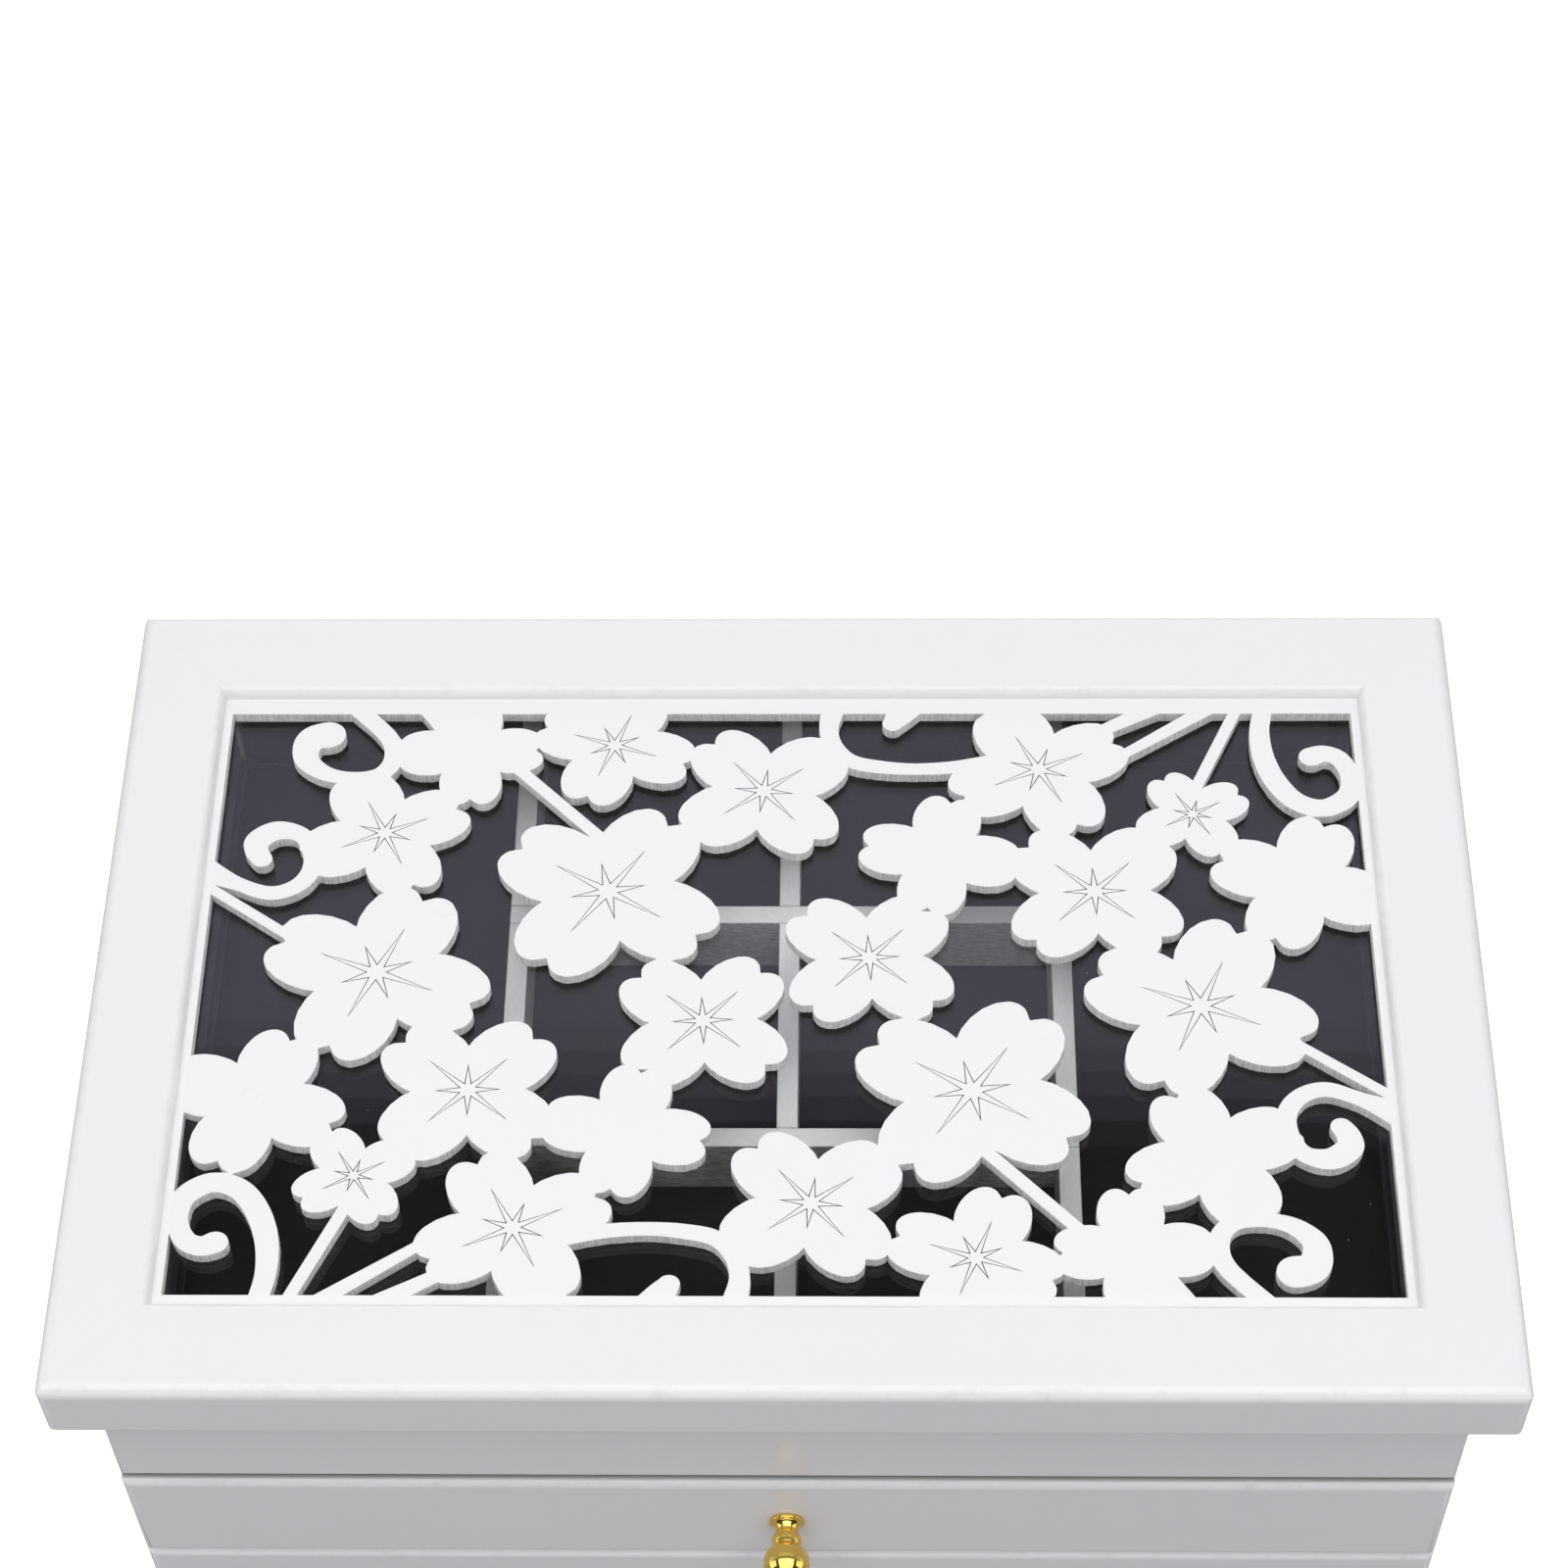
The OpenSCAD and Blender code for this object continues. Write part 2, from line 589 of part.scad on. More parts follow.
lid_front_rail();
lid_right_rail();
lid_back_rail();
lid_left_rail();
fretwork_panel();
glass_pane();
glazing_beads();
lid_leaf_left();
lid_leaf_right();
lid_hinge_screws();
case_side_left();
case_side_right();
back_panel();
front_band();
tray_floor();
tray_lining();
divider_left();
divider_centre();
divider_right();
divider_front();
divider_back();
base_board();
feet();
case_leaf_left();
case_leaf_right();
hinge_pins();
case_hinge_screws();
for (k = [1:DRAWERS]) {
    shelf(k);
    drawer_front(k);
    drawer_side(k, -1);
    drawer_side(k, 1);
    drawer_back(k);
    drawer_bottom(k);
    drawer_lining(k);
    drawer_knob(k);
}
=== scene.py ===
# %% [markdown]
# # A white jewellery chest with a blossom fretwork lid
# The chest is a painted box with four drawers. Its lid is a frame of four rails round a cut
# fretwork panel, with glass under it, so that the black velvet tray shows through.
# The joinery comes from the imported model, which is the fixed frame: every piece below is placed
# from its boxes, and this script adds the finish, the soft linings and the fine detail.

# %% Load the frame
import json
import math

import bmesh
import bpy
import numpy as np
from mathutils import Matrix, Vector
from mathutils.geometry import delaunay_2d_cdt


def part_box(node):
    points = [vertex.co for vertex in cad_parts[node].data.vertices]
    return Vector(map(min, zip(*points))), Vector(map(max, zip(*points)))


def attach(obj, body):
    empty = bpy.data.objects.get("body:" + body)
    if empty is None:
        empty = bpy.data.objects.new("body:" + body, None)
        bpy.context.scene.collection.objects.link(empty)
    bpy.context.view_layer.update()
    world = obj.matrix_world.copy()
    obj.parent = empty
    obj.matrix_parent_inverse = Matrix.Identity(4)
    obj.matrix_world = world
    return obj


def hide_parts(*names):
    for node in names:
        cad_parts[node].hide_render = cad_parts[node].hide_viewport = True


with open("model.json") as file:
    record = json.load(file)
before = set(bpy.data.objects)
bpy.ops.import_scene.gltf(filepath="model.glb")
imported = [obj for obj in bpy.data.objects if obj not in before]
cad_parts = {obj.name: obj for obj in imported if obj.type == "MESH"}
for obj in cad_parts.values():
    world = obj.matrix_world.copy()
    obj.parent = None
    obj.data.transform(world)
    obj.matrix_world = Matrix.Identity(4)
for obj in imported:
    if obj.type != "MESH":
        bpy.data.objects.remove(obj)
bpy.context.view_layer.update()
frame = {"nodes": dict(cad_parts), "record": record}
DRAWERS = 4
BODY_OF = {node: body for body, nodes in frame["record"]["behaviour"]["bodies"].items() for node in nodes}

# %% [markdown]
# ## Camera
# The camera looks down on the lid from the front at about 54 degrees. It is placed from the lid's
# own front edge and top, so it stays right if the chest changes a little. A turn about the vertical,
# a tilt down and a small roll are combined by building the three axes of the camera's matrix.

# %% Camera
rail_low, rail_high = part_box("lid_front_rail")
LID_TOP = rail_high.z
EYE = Vector((0.01594, rail_low.y - 0.34653, LID_TOP + 0.70507))
TURN, TILT, ROLL = -0.033719, 0.947206, -0.027709
ahead = Vector((math.sin(TURN) * math.cos(TILT), math.cos(TURN) * math.cos(TILT), -math.sin(TILT)))
flat_right = Vector((math.cos(TURN), -math.sin(TURN), 0))
flat_up = flat_right.cross(ahead)
right = math.cos(ROLL) * flat_right + math.sin(ROLL) * flat_up
up = math.cos(ROLL) * flat_up - math.sin(ROLL) * flat_right

lens = bpy.data.cameras.new("camera")
lens.lens, lens.sensor_width = 83.71, 36
camera = bpy.data.objects.new("camera", lens)
axes = Matrix((right, up, -ahead)).transposed().to_4x4()
camera.matrix_world = Matrix.Translation(EYE) @ axes
bpy.context.scene.collection.objects.link(camera)
bpy.context.scene.camera = camera
print("camera", [round(v, 4) for v in EYE])

# %% [markdown]
# ## Floor and light
# A white studio floor and one large soft panel, high and a little to the front, give the plain product
# light: the lid is bright and the fronts are half as bright. Weaker panels fill front, sides and back.
# Above the one at the back hangs a dim, faintly violet panel. The glass mirrors it, and strips above
# it, each weaker than the last, let that reflection fade out softly instead of ending in a line.
# The surroundings look white where the camera sees them, but light the chest only a little.

# %% Helpers for stage and light
def area_light(name, centre, size, aim, radiance, tint=(1, 1, 1)):
    """A rectangle of light at centre facing aim. Its power is radiance times pi times its area."""
    lamp = bpy.data.lights.new(name, "AREA")
    lamp.color = tint
    lamp.shape, lamp.size, lamp.size_y = "RECTANGLE", size[0], size[1]
    lamp.energy = radiance * math.pi * size[0] * size[1]
    holder = bpy.data.objects.new(name, lamp)
    holder.location = centre
    holder.rotation_euler = (Vector(aim) - Vector(centre)).to_track_quat("-Z", "Y").to_euler()
    bpy.context.scene.collection.objects.link(holder)


# %% Key, front and side lights
KEY_Y, KEY_HEIGHT, KEY_SIZE, KEY_RADIANCE = -0.75, 2.35, (3.4, 2.7), 2.16
FRONT_CENTRE, FRONT_SIZE, FRONT_RADIANCE, FRONT_TINT = (0, -2.5, 0.8), (2.6, 1.2), 1.18, (1.0, 0.945, 1.05)
SIDE_X, SIDE_HEIGHT, SIDE_SIZE, SIDE_RADIANCE = 2.2, 0.9, (2.0, 1.6), 1.4
CHEST_MIDDLE = (0, 0, 0.2)
area_light("key_light", (0, KEY_Y, KEY_HEIGHT), KEY_SIZE, (0, KEY_Y, 0), KEY_RADIANCE)
area_light("front_light", FRONT_CENTRE, FRONT_SIZE, CHEST_MIDDLE, FRONT_RADIANCE, FRONT_TINT)
for side in (-1, 1):
    area_light(f"side_light_{side + 1}", (side * SIDE_X, 0, SIDE_HEIGHT), SIDE_SIZE, CHEST_MIDDLE,
               SIDE_RADIANCE)

# %% Lights behind the chest
PANEL_Y, PANEL_WIDTH, PANEL_FOOT = 2.4, 3.4, 0.1
LOW_RADIANCE, PANEL_RADIANCE, PANEL_TINT = 1.2, 0.62, (0.97, 0.92, 1.16)
MIRROR_FROM, FADE_FROM, FADE_STEP = math.radians(38), math.radians(58.1), math.radians(0.45)
FADE_STEPS = 5


def panel_height(angle):
    """The height on the panels' upright plane that is seen at this angle above the lid's top."""
    return LID_TOP + PANEL_Y * math.tan(angle)


def back_light(name, low, high, radiance, tint=(1, 1, 1)):
    """An upright strip of light behind the chest, from height low to height high."""
    middle = (low + high) / 2
    area_light(name, (0, PANEL_Y, middle), (PANEL_WIDTH, high - low), (0, 0, middle), radiance, tint)


back_light("low_back_light", PANEL_FOOT, panel_height(MIRROR_FROM), LOW_RADIANCE)
back_light("back_panel_light", panel_height(MIRROR_FROM), panel_height(FADE_FROM), PANEL_RADIANCE, PANEL_TINT)
for step in range(FADE_STEPS):
    start = panel_height(FADE_FROM + step * FADE_STEP)
    end = panel_height(FADE_FROM + (step + 1) * FADE_STEP)
    share = 1 - (step + 0.5) / FADE_STEPS
    back_light(f"fade_light_{step}", start, end, PANEL_RADIANCE * share, PANEL_TINT)

# %% Surroundings
SKY_LIGHT, SKY_SEEN = 0.07, 1.0
world = bpy.data.worlds.new("studio")
world.use_nodes = True
world.node_tree.nodes["Background"].inputs["Color"].default_value = (1, 1, 1, 1)
direct = world.node_tree.nodes.new("ShaderNodeLightPath")
glow = world.node_tree.nodes.new("ShaderNodeMapRange")
glow.inputs["To Min"].default_value, glow.inputs["To Max"].default_value = SKY_LIGHT, SKY_SEEN
world.node_tree.links.new(direct.outputs["Is Camera Ray"], glow.inputs["Value"])
world.node_tree.links.new(glow.outputs["Result"], world.node_tree.nodes["Background"].inputs["Strength"])
bpy.context.scene.world = world
bpy.context.scene.view_settings.view_transform = "Standard"
print("lights", len(bpy.data.lights))

# %% [markdown]
# ## Node helpers
# Materials are node trees. `add` makes a node, sets its options and its unlinked inputs, and links
# the sockets it is given, so a material reads as a short list. `shader_group` makes a node group with
# named inputs and outputs. A group here hands out only colours, masks, values and normals.

# %% Node helpers
def add(tree, kind, **settings):
    """A node of this kind. A setting is a socket to link from, an option of the node or an input's value."""
    made = tree.nodes.new(kind)
    for name, value in settings.items():
        socket_name = name.replace("_", " ")
        if hasattr(made, name) and name not in ("inputs", "outputs"):
            setattr(made, name, value)
            continue
        socket = made.inputs[socket_name if socket_name in made.inputs else int(name.strip("i"))]
        if isinstance(value, bpy.types.NodeSocket):
            tree.links.new(value, socket)
        else:
            socket.default_value = value
    return made


def maths(tree, operation, a, b=0.0, clamp=False):
    """The result of one sum; a and b are sockets or numbers."""
    return add(tree, "ShaderNodeMath", operation=operation, use_clamp=clamp, i0=a, i1=b).outputs[0]


def blend(tree, share, a, b):
    """A colour from a to b by share."""
    mix = tree.nodes.new("ShaderNodeMix")
    mix.data_type = "RGBA"
    for socket, value in zip((mix.inputs[0], mix.inputs[6], mix.inputs[7]), (share, a, b)):
        if isinstance(value, bpy.types.NodeSocket):
            tree.links.new(value, socket)
        else:
            socket.default_value = value
    return mix.outputs[2]


def remap(tree, value, low, high, to_low, to_high):
    """value carried from low..high to to_low..to_high and clamped."""
    made = add(tree, "ShaderNodeMapRange", Value=value)
    for index, limit in enumerate((low, high, to_low, to_high)):
        made.inputs[index + 1].default_value = limit
    return made.outputs[0]


def shader_group(name, inputs, outputs):
    """An empty node group with these named sockets, and its input and output nodes."""
    group = bpy.data.node_groups.new(name, "ShaderNodeTree")
    for title, kind, value in inputs:
        group.interface.new_socket(name=title, in_out="INPUT", socket_type=kind).default_value = value
    for title, kind in outputs:
        group.interface.new_socket(name=title, in_out="OUTPUT", socket_type=kind)
    return group, group.nodes.new("NodeGroupInput"), group.nodes.new("NodeGroupOutput")


def material(name):
    """A new material, its tree and its Principled shader."""
    made = bpy.data.materials.new(name)
    made.use_nodes = True
    return made, made.node_tree, made.node_tree.nodes["Principled BSDF"]


def grey(value, tint=1.0):
    """A neutral colour, with a little more blue where tint is over one."""
    return (value, value, value * tint, 1)


# %% [markdown]
# ## Shared effects
# Sprayed lacquer is never quite flat: it has a fine orange-peel ripple, a slow change of gloss where
# hands have been, and rubbed edges. Each of these is one group, used by several finishes with other
# values. The wear follows an `edge` attribute, which the pieces carry where their surface turns.

# %% Group: orange peel
FLOAT, COLOUR, VECTOR = "NodeSocketFloat", "NodeSocketColor", "NodeSocketVector"
orange_peel, given, result = shader_group(
    "orange_peel", [("Size", FLOAT, 900.0), ("Height", FLOAT, 0.00001)], [("Normal", VECTOR)])
spot = add(orange_peel, "ShaderNodeTexCoord").outputs["Object"]
fine = add(orange_peel, "ShaderNodeTexNoise", Vector=spot, Scale=given.outputs["Size"], Detail=2.0)
slow = add(orange_peel, "ShaderNodeTexNoise", Vector=spot, Scale=60.0, Detail=1.0)
ripple = maths(orange_peel, "ADD", fine.outputs[0], maths(orange_peel, "MULTIPLY", slow.outputs[0], 1.5))
peel_bump = add(orange_peel, "ShaderNodeBump", Height=ripple, Distance=given.outputs["Height"], Strength=1.0)
orange_peel.links.new(peel_bump.outputs[0], result.inputs["Normal"])

# %% Group: handling, a slow mask for gloss and tone
handling, given, result = shader_group(
    "handling", [("Size", FLOAT, 14.0), ("Low", FLOAT, 0.0), ("High", FLOAT, 1.0)], [("Value", FLOAT)])
spot = add(handling, "ShaderNodeTexCoord").outputs["Object"]
cloud = add(handling, "ShaderNodeTexNoise", Vector=spot, Scale=given.outputs["Size"], Detail=2.0,
            Roughness=0.5)
spread = add(handling, "ShaderNodeMapRange", Value=cloud.outputs[0])
spread.inputs[1].default_value, spread.inputs[2].default_value = 0.25, 0.75
handling.links.new(given.outputs["Low"], spread.inputs[3])
handling.links.new(given.outputs["High"], spread.inputs[4])
handling.links.new(spread.outputs[0], result.inputs["Value"])

# %% Group: rubbed edges
rubbed_edges, given, result = shader_group(
    "rubbed_edges", [("Amount", FLOAT, 0.5), ("Colour", COLOUR, grey(0.8)), ("Rubbed", COLOUR, grey(0.6))],
    [("Colour", COLOUR), ("Mask", FLOAT)])
tilted = add(rubbed_edges, "ShaderNodeAttribute", attribute_name="edge").outputs["Fac"]
spot = add(rubbed_edges, "ShaderNodeTexCoord").outputs["Object"]
patches = add(rubbed_edges, "ShaderNodeTexNoise", Vector=spot, Scale=160.0, Detail=6.0, Roughness=0.7)
worn = remap(rubbed_edges, patches.outputs[0], 0.52, 0.72, 0.0, 1.0)
worn_edge = maths(rubbed_edges, "MULTIPLY", tilted, worn)
mask = maths(rubbed_edges, "MULTIPLY", worn_edge, given.outputs["Amount"], True)
colour = blend(rubbed_edges, mask, given.outputs["Colour"], given.outputs["Rubbed"])
rubbed_edges.links.new(colour, result.inputs["Colour"])
rubbed_edges.links.new(mask, result.inputs["Mask"])

# %% Group: streaks, for brushed or sawn surfaces
streaks, given, result = shader_group("streaks", [("Stretch", VECTOR, (1.0, 1.0, 1.0))], [("Value", FLOAT)])
spot = add(streaks, "ShaderNodeTexCoord").outputs["Object"]
drawn = add(streaks, "ShaderNodeVectorMath", operation="MULTIPLY", i0=spot, i1=given.outputs["Stretch"])
lines = add(streaks, "ShaderNodeTexNoise", Vector=drawn.outputs[0], Scale=1.0, Detail=4.0, Roughness=0.6)
streaks.links.new(lines.outputs[0], result.inputs["Value"])


# %% Using a group
def use(tree, group, **values):
    """One use of a shared effect, with its inputs set or linked."""
    made = tree.nodes.new("ShaderNodeGroup")
    made.node_tree = group
    for name, value in values.items():
        if isinstance(value, bpy.types.NodeSocket):
            tree.links.new(value, made.inputs[name])
        else:
            made.inputs[name].default_value = value
    return made.outputs


print("groups", [g.name for g in bpy.data.node_groups])

# %% [markdown]
# ## White lacquer
# The case and the lid are fibreboard sprayed with a satin white lacquer. It is a neutral white with
# a blurred mirror in it: roughness near 0.2, a low orange peel and faint grey where edges are rubbed.
# The upper and lower edges of the drawer fronts and of the band above them face each other across
# narrow gaps, where shadow falls. There the paint is darkened towards grey as painted shade for the
# crevices, and a point attribute marks these edges.

# %% White lacquer
# Painted shade in the crevices: how much of the paint turns towards this grey.
CREVICE_SHADE_SHARE, CREVICE_SHADE_GREY = 0.85, 0.2


def lacquer(name, white, gloss, peel=0.000012, wear=0.5):
    """Satin lacquer: white is its lightness, gloss the lowest and highest roughness."""
    made, tree, shader = material(name)
    tone = use(tree, handling, Size=9.0, Low=0.0, High=1.0)["Value"]
    paint = blend(tree, tone, grey(white * 0.992, 1.014), grey(white, 1.01))
    # Painted shade: where the point attribute marks a crevice edge, the paint turns towards grey.
    crevice_shade = add(tree, "ShaderNodeAttribute", attribute_name="crevice_shade").outputs["Fac"]
    paint = blend(tree, maths(tree, "MULTIPLY", crevice_shade, CREVICE_SHADE_SHARE), paint, grey(CREVICE_SHADE_GREY))
    edges = use(tree, rubbed_edges, Amount=wear, Colour=paint, Rubbed=grey(white * 0.82))
    smooth = use(tree, handling, Size=23.0, Low=gloss[0], High=gloss[1])["Value"]
    tree.links.new(edges["Colour"], shader.inputs["Base Color"])
    roughness = maths(tree, "ADD", smooth, maths(tree, "MULTIPLY", edges["Mask"], 0.2))
    tree.links.new(roughness, shader.inputs["Roughness"])
    tree.links.new(use(tree, orange_peel, Size=1100.0, Height=peel)["Normal"], shader.inputs["Normal"])
    shader.inputs["IOR"].default_value = 1.47
    return made


white_lacquer = lacquer("white_lacquer", 0.80, (0.17, 0.22))
fretwork_lacquer = lacquer("fretwork_lacquer", 0.83, (0.27, 0.33), peel=0.00001, wear=0.35)

# %% [markdown]
# ## Cut edges of the fretwork
# The panel is cut out of fibreboard and only its face is lacquered well. The cut walls take a thin
# grey coat that shows the cutter's fine upright marks, so the noise is stretched along z.

# %% Cut edges
cut_edge, tree, shader = material("cut_edge")
marks = use(tree, streaks, Stretch=(2400.0, 2400.0, 120.0))["Value"]
fibre = use(tree, streaks, Stretch=(700.0, 700.0, 900.0))["Value"]
both = maths(tree, "ADD", maths(tree, "MULTIPLY", marks, 0.65), maths(tree, "MULTIPLY", fibre, 0.35))
tree.links.new(blend(tree, remap(tree, both, 0.36, 0.64, 0.0, 1.0), grey(0.55, 1.01), grey(0.92, 1.0)),
               shader.inputs["Base Color"])
tree.links.new(remap(tree, fibre, 0.3, 0.7, 0.55, 0.8), shader.inputs["Roughness"])
saw = add(tree, "ShaderNodeBump", Height=both, Distance=0.00006, Strength=1.0)
tree.links.new(saw.outputs[0], shader.inputs["Normal"])

# %% [markdown]
# ## Scored lines
# The stars in the blossoms are burnt in with a fine tool, which leaves a thin grey-brown groove.

# %% Scored line
scored_line, tree, shader = material("scored_line")
burnt = use(tree, streaks, Stretch=(500.0, 500.0, 500.0))["Value"]
tree.links.new(blend(tree, remap(tree, burnt, 0.35, 0.65, 0.0, 1.0), grey(0.004, 1.1), grey(0.03, 1.05)),
               shader.inputs["Base Color"])
tree.links.new(remap(tree, burnt, 0.3, 0.7, 0.6, 0.85), shader.inputs["Roughness"])

# %% [markdown]
# ## Brushed, painted wood inside
# The dividers and the drawer boxes are thin boards with a brushed white coat. The brush marks run
# along each board, so the same finish is made once for boards along x and once for boards along y.
# The upright faces are darker than the upper edges, by the way each face points. This is partly a
# thinner coat that shows the brush more, and partly painted shade on faces that get less light.

# %% Painted boards
def painted_wood(name, stretch, upright_dark_paint_and_shade, upright_light_paint_and_shade):
    """Thin white paint whose streaks run along the axis that stretch leaves smallest. Upright faces
    take the darker pair of tones: partly thin paint, partly painted shade.
    """
    made, tree, shader = material(name)
    brush = use(tree, streaks, Stretch=stretch)["Value"]
    share = remap(tree, brush, 0.34, 0.66, 0.0, 1.0)
    # Partly painted shade: upright faces get the darker tones and upper faces the lighter, by the normal.
    facing = add(tree, "ShaderNodeSeparateXYZ", Vector=add(tree, "ShaderNodeNewGeometry").outputs["Normal"])
    top_paint_and_light = maths(tree, "ABSOLUTE", facing.outputs["Z"])
    paint = blend(tree, top_paint_and_light, blend(tree, share, grey(upright_dark_paint_and_shade, 1.02), grey(upright_light_paint_and_shade, 1.01)),
                  blend(tree, share, grey(0.78, 1.01), grey(0.86, 1.0)))
    edges = use(tree, rubbed_edges, Amount=0.6, Colour=paint, Rubbed=grey(0.5))
    tree.links.new(edges["Colour"], shader.inputs["Base Color"])
    tree.links.new(remap(tree, brush, 0.3, 0.7, 0.36, 0.55), shader.inputs["Roughness"])
    bump = add(tree, "ShaderNodeBump", Height=brush, Distance=0.00005, Strength=1.0)
    tree.links.new(bump.outputs[0], shader.inputs["Normal"])
    return made


STREAK_X, STREAK_Y = (420.0, 3000.0, 3000.0), (3000.0, 420.0, 3000.0)
# The dividers' upright faces are much darker than the drawer boxes': partly thin paint, partly painted shade.
divider_x = painted_wood("divider_paint_x", STREAK_X, 0.26, 0.66)
divider_y = painted_wood("divider_paint_y", STREAK_Y, 0.26, 0.66)
wood_along_x = painted_wood("drawer_paint_x", STREAK_X, 0.66, 0.80)
wood_along_y = painted_wood("drawer_paint_y", STREAK_Y, 0.66, 0.80)

# %% [markdown]
# ## Hardboard
# Shelves, tray floor and drawer bottoms are plain hardboard: brown, with fine pressed fibres.

# %% Hardboard
BOARD_DARK, BOARD_PALE = (0.17, 0.10, 0.055, 1), (0.36, 0.235, 0.135, 1)
hardboard, tree, shader = material("hardboard")
fibres = use(tree, streaks, Stretch=(420.0, 950.0, 600.0))["Value"]
cloudy = use(tree, handling, Size=30.0, Low=0.0, High=1.0)["Value"]
both = maths(tree, "ADD", maths(tree, "MULTIPLY", fibres, 0.7), maths(tree, "MULTIPLY", cloudy, 0.3))
tree.links.new(blend(tree, remap(tree, both, 0.3, 0.7, 0.0, 1.0), BOARD_DARK, BOARD_PALE),
               shader.inputs["Base Color"])
tree.links.new(remap(tree, fibres, 0.3, 0.7, 0.5, 0.72), shader.inputs["Roughness"])
bump = add(tree, "ShaderNodeBump", Height=both, Distance=0.00008, Strength=1.0)
tree.links.new(bump.outputs[0], shader.inputs["Normal"])

# %% [markdown]
# ## Velvet
# The lining is black velvet with a violet cast. Pile scatters light back at grazing angles, which is
# the Principled shader's sheen, set on its own sockets. A fine noise lifts the pile, a slow one shows
# where it was brushed the other way, and rare bright points are lint.

# %% Velvet
NAP_DARK, NAP_PALE = (0.0075, 0.0068, 0.0095, 1), (0.013, 0.0115, 0.017, 1)
velvet, tree, shader = material("velvet")
spot = add(tree, "ShaderNodeTexCoord").outputs["Object"]
brushed = use(tree, handling, Size=20.0, Low=0.0, High=1.0)["Value"]
pile = add(tree, "ShaderNodeTexNoise", Vector=spot, Scale=2600.0, Detail=2.0).outputs[0]
nap = blend(tree, brushed, NAP_DARK, NAP_PALE)
lint_near = add(tree, "ShaderNodeTexVoronoi", Vector=spot, Scale=150.0, Randomness=1.0).outputs["Distance"]
lint = remap(tree, lint_near, 0.02, 0.035, 1.0, 0.0)
tree.links.new(blend(tree, lint, nap, grey(0.35)), shader.inputs["Base Color"])
tree.links.new(remap(tree, brushed, 0.0, 1.0, 0.75, 0.95), shader.inputs["Roughness"])
pile_bump = add(tree, "ShaderNodeBump", Height=pile, Distance=0.00025, Strength=0.8)
tree.links.new(pile_bump.outputs[0], shader.inputs["Normal"])
shader.inputs["Sheen Weight"].default_value = 0.25
shader.inputs["Sheen Roughness"].default_value = 0.35
shader.inputs["Sheen Tint"].default_value = (0.62, 0.56, 0.8, 1)
shader.inputs["Specular IOR Level"].default_value = 0.2

# %% [markdown]
# ## Glass
# The pane is clear float glass, so its shader is smooth with full transmission. Light that passes
# through real glass would be slow to compute, so a Light Path node lets lamp rays through
# as if the pane were open. A very slow ripple makes the mirrored panel waver a little.

# %% Glass
FILMED, CLEAN = (0.97, 0.985, 0.98, 1), (0.985, 0.995, 0.99, 1)
glass, tree, shader = material("glass")
spot = add(tree, "ShaderNodeTexCoord").outputs["Object"]
ripple = add(tree, "ShaderNodeTexNoise", Vector=spot, Scale=9.0, Detail=1.0).outputs[0]
wave = add(tree, "ShaderNodeBump", Height=ripple, Distance=0.0002, Strength=0.5)
tree.links.new(wave.outputs[0], shader.inputs["Normal"])
film = use(tree, handling, Size=16.0, Low=0.0, High=1.0)["Value"]
tree.links.new(blend(tree, film, FILMED, CLEAN), shader.inputs["Base Color"])
shader.inputs["Roughness"].default_value = 0.0
shader.inputs["IOR"].default_value = 1.5
shader.inputs["Transmission Weight"].default_value = 1.0
open_way = tree.nodes.new("ShaderNodeBsdfTransparent")
either = tree.nodes.new("ShaderNodeMixShader")
path = tree.nodes.new("ShaderNodeLightPath")
tree.links.new(path.outputs["Is Shadow Ray"], either.inputs[0])
tree.links.new(shader.outputs[0], either.inputs[1])
tree.links.new(open_way.outputs[0], either.inputs[2])
tree.links.new(either.outputs[0], tree.nodes["Material Output"].inputs["Surface"])

# %% [markdown]
# ## Brass
# Knobs and hinges are bright polished brass. A metal's colour is its reflection, so the shader is
# fully metallic and the detail is in the roughness: fine turning lines round a knob, which follow the
# `v` of its own UV map, and a soft tarnish.

# %% Brass
BRASS_DEEP, BRASS_BRIGHT = (0.84, 0.56, 0.11, 1), (0.94, 0.67, 0.18, 1)


def polished_brass(name, turned):
    """Polished brass. turned adds the lathe's rings along v of the UV map; else it has a straight grain."""
    made, tree, shader = material(name)
    tarnish = use(tree, handling, Size=260.0, Low=0.0, High=1.0)["Value"]
    tree.links.new(blend(tree, tarnish, BRASS_DEEP, BRASS_BRIGHT), shader.inputs["Base Color"])
    if turned:
        uv = add(tree, "ShaderNodeUVMap", uv_map="turning").outputs[0]
        rings = add(tree, "ShaderNodeVectorMath", operation="MULTIPLY", i0=uv).outputs[0]
        rings.node.inputs[1].default_value = (2.0, 9000.0, 0.0)
        line = add(tree, "ShaderNodeTexNoise", Vector=rings, Scale=1.0, Detail=2.0).outputs[0]
    else:
        line = use(tree, streaks, Stretch=(60.0, 2600.0, 2600.0))["Value"]
    polish = remap(tree, line, 0.3, 0.7, 0.05, 0.11)
    gloss = maths(tree, "ADD", polish, maths(tree, "MULTIPLY", tarnish, 0.04))
    tree.links.new(gloss, shader.inputs["Roughness"])
    bump = add(tree, "ShaderNodeBump", Height=line, Distance=0.000004, Strength=1.0)
    tree.links.new(bump.outputs[0], shader.inputs["Normal"])
    shader.inputs["Metallic"].default_value = 1.0
    return made


turned_brass = polished_brass("turned_brass", True)
plate_brass = polished_brass("plate_brass", False)

# %% [markdown]
# ## Studio floor
# The floor is a lit white table: part of its brightness is its own glow, so that shadows on it stay
# pale. It throws less light back at the chest than it shows, as a table lit from below does.

